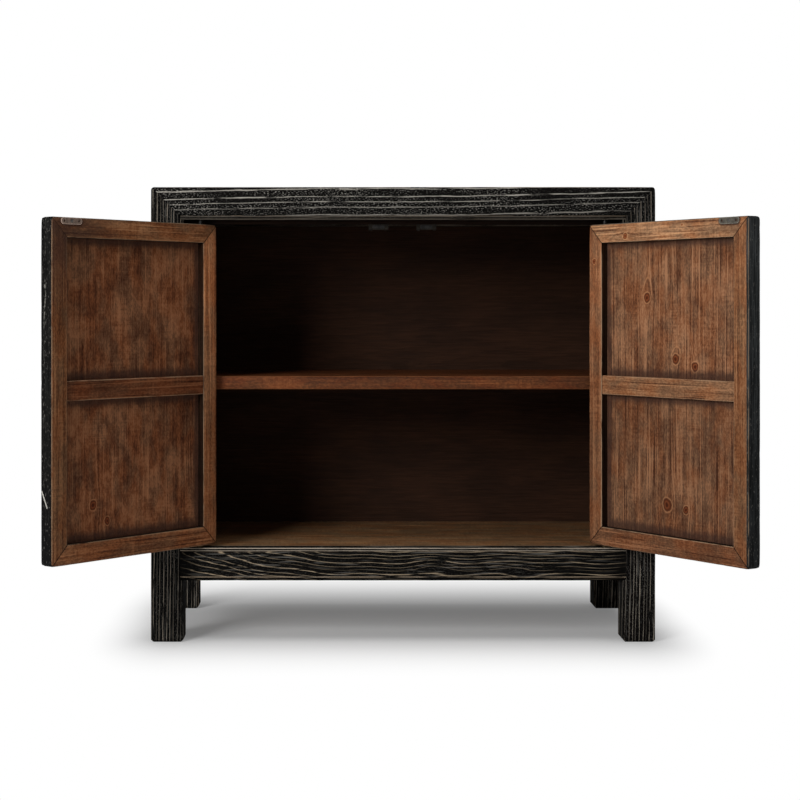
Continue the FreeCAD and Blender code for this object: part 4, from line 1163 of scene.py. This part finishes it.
def make_room(ambient):
    """A white room, dimmer as a light than it looks."""
    world = bpy.data.worlds.new("room")
    world.use_nodes = True
    world.node_tree.nodes.clear()
    sight = first_wire(world.node_tree, "ShaderNodeLightPath", "Is Camera Ray")
    dim = sight.node("ShaderNodeBackground", inputs={"Color": WHITE, "Strength": ambient})
    white = sight.node("ShaderNodeBackground", inputs={"Color": WHITE, "Strength": 1.0})
    both = sight.node("ShaderNodeMixShader", inputs={0: sight, 1: dim, 2: white})
    sight.node("ShaderNodeOutputWorld", inputs={"Surface": both})
    bpy.context.scene.world = world


def add_light(name, place, target, size, watts):
    """A soft square light that faces a target."""
    light = bpy.data.lights.new(name, "AREA")
    light.energy = watts
    light.size = size
    lamp = new_object(name, light)
    lamp.location = place
    lamp.rotation_euler = (Vector(target) - Vector(place)).to_track_quat("-Z", "Y").to_euler()


def add_camera(setup):
    """The camera, level and square to the front."""
    camera = bpy.data.cameras.new("camera")
    camera.lens = setup.lens
    camera.shift_x = setup.shift_right
    camera.shift_y = setup.shift_up
    stand = new_object("camera", camera)
    stand.location = setup.camera
    stand.rotation_euler = (math.pi / 2, 0, 0)
    bpy.context.scene.camera = stand


class CABINET_OT_stage(bpy.types.Operator):
    """Set the floor, the lights and the camera"""

    bl_idname = "cabinet.stage"
    bl_label = "Stage"

    def execute(self, context):
        setup = context.scene.cabinet_stage
        make_floor()
        make_room(setup.ambient)
        for name, (place, target, size) in LIGHTS.items():
            add_light(name, place, target, size, getattr(setup, name))
        add_camera(setup)
        context.scene.view_settings.view_transform = "Standard"
        return {"FINISHED"}


OPERATORS = (
    CABINET_OT_posts,
    CABINET_OT_top_rails,
    CABINET_OT_bottom_rails,
    CABINET_OT_linings,
    CABINET_OT_case_panels,
    CABINET_OT_boards,
    CABINET_OT_strips,
    CABINET_OT_door_frames,
    CABINET_OT_door_panels,
    CABINET_OT_fittings,
    CABINET_OT_stage,
)


class CABINET_PT_sidebar(bpy.types.Panel):
    """Lists the steps that finish the cabinet"""

    bl_idname = "CABINET_PT_sidebar"
    bl_label = "Cabinet"
    bl_space_type = "VIEW_3D"
    bl_region_type = "UI"
    bl_category = "Cabinet"

    def draw(self, context):
        for operator in OPERATORS:
            self.layout.operator(operator.bl_idname)
        for name, group in SETTINGS.items():
            box = self.layout.box()
            for setting in group.__annotations__:
                box.prop(getattr(context.scene, name), setting)


CLASSES = (*SETTINGS.values(), *OPERATORS, CABINET_PT_sidebar)


def register():
    """Adds the classes and their settings."""
    for each in CLASSES:
        bpy.utils.register_class(each)
    for name, group in SETTINGS.items():
        setattr(bpy.types.Scene, name, PointerProperty(type=group))


def unregister():
    """Takes the classes and their settings away."""
    for name in SETTINGS:
        delattr(bpy.types.Scene, name)
    for each in reversed(CLASSES):
        bpy.utils.unregister_class(each)


def main():
    """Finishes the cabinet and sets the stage."""
    register()
    for operator in OPERATORS:
        family, name = operator.bl_idname.split(".")
        getattr(getattr(bpy.ops, family), name)()


if __name__ == "__main__":
    main()
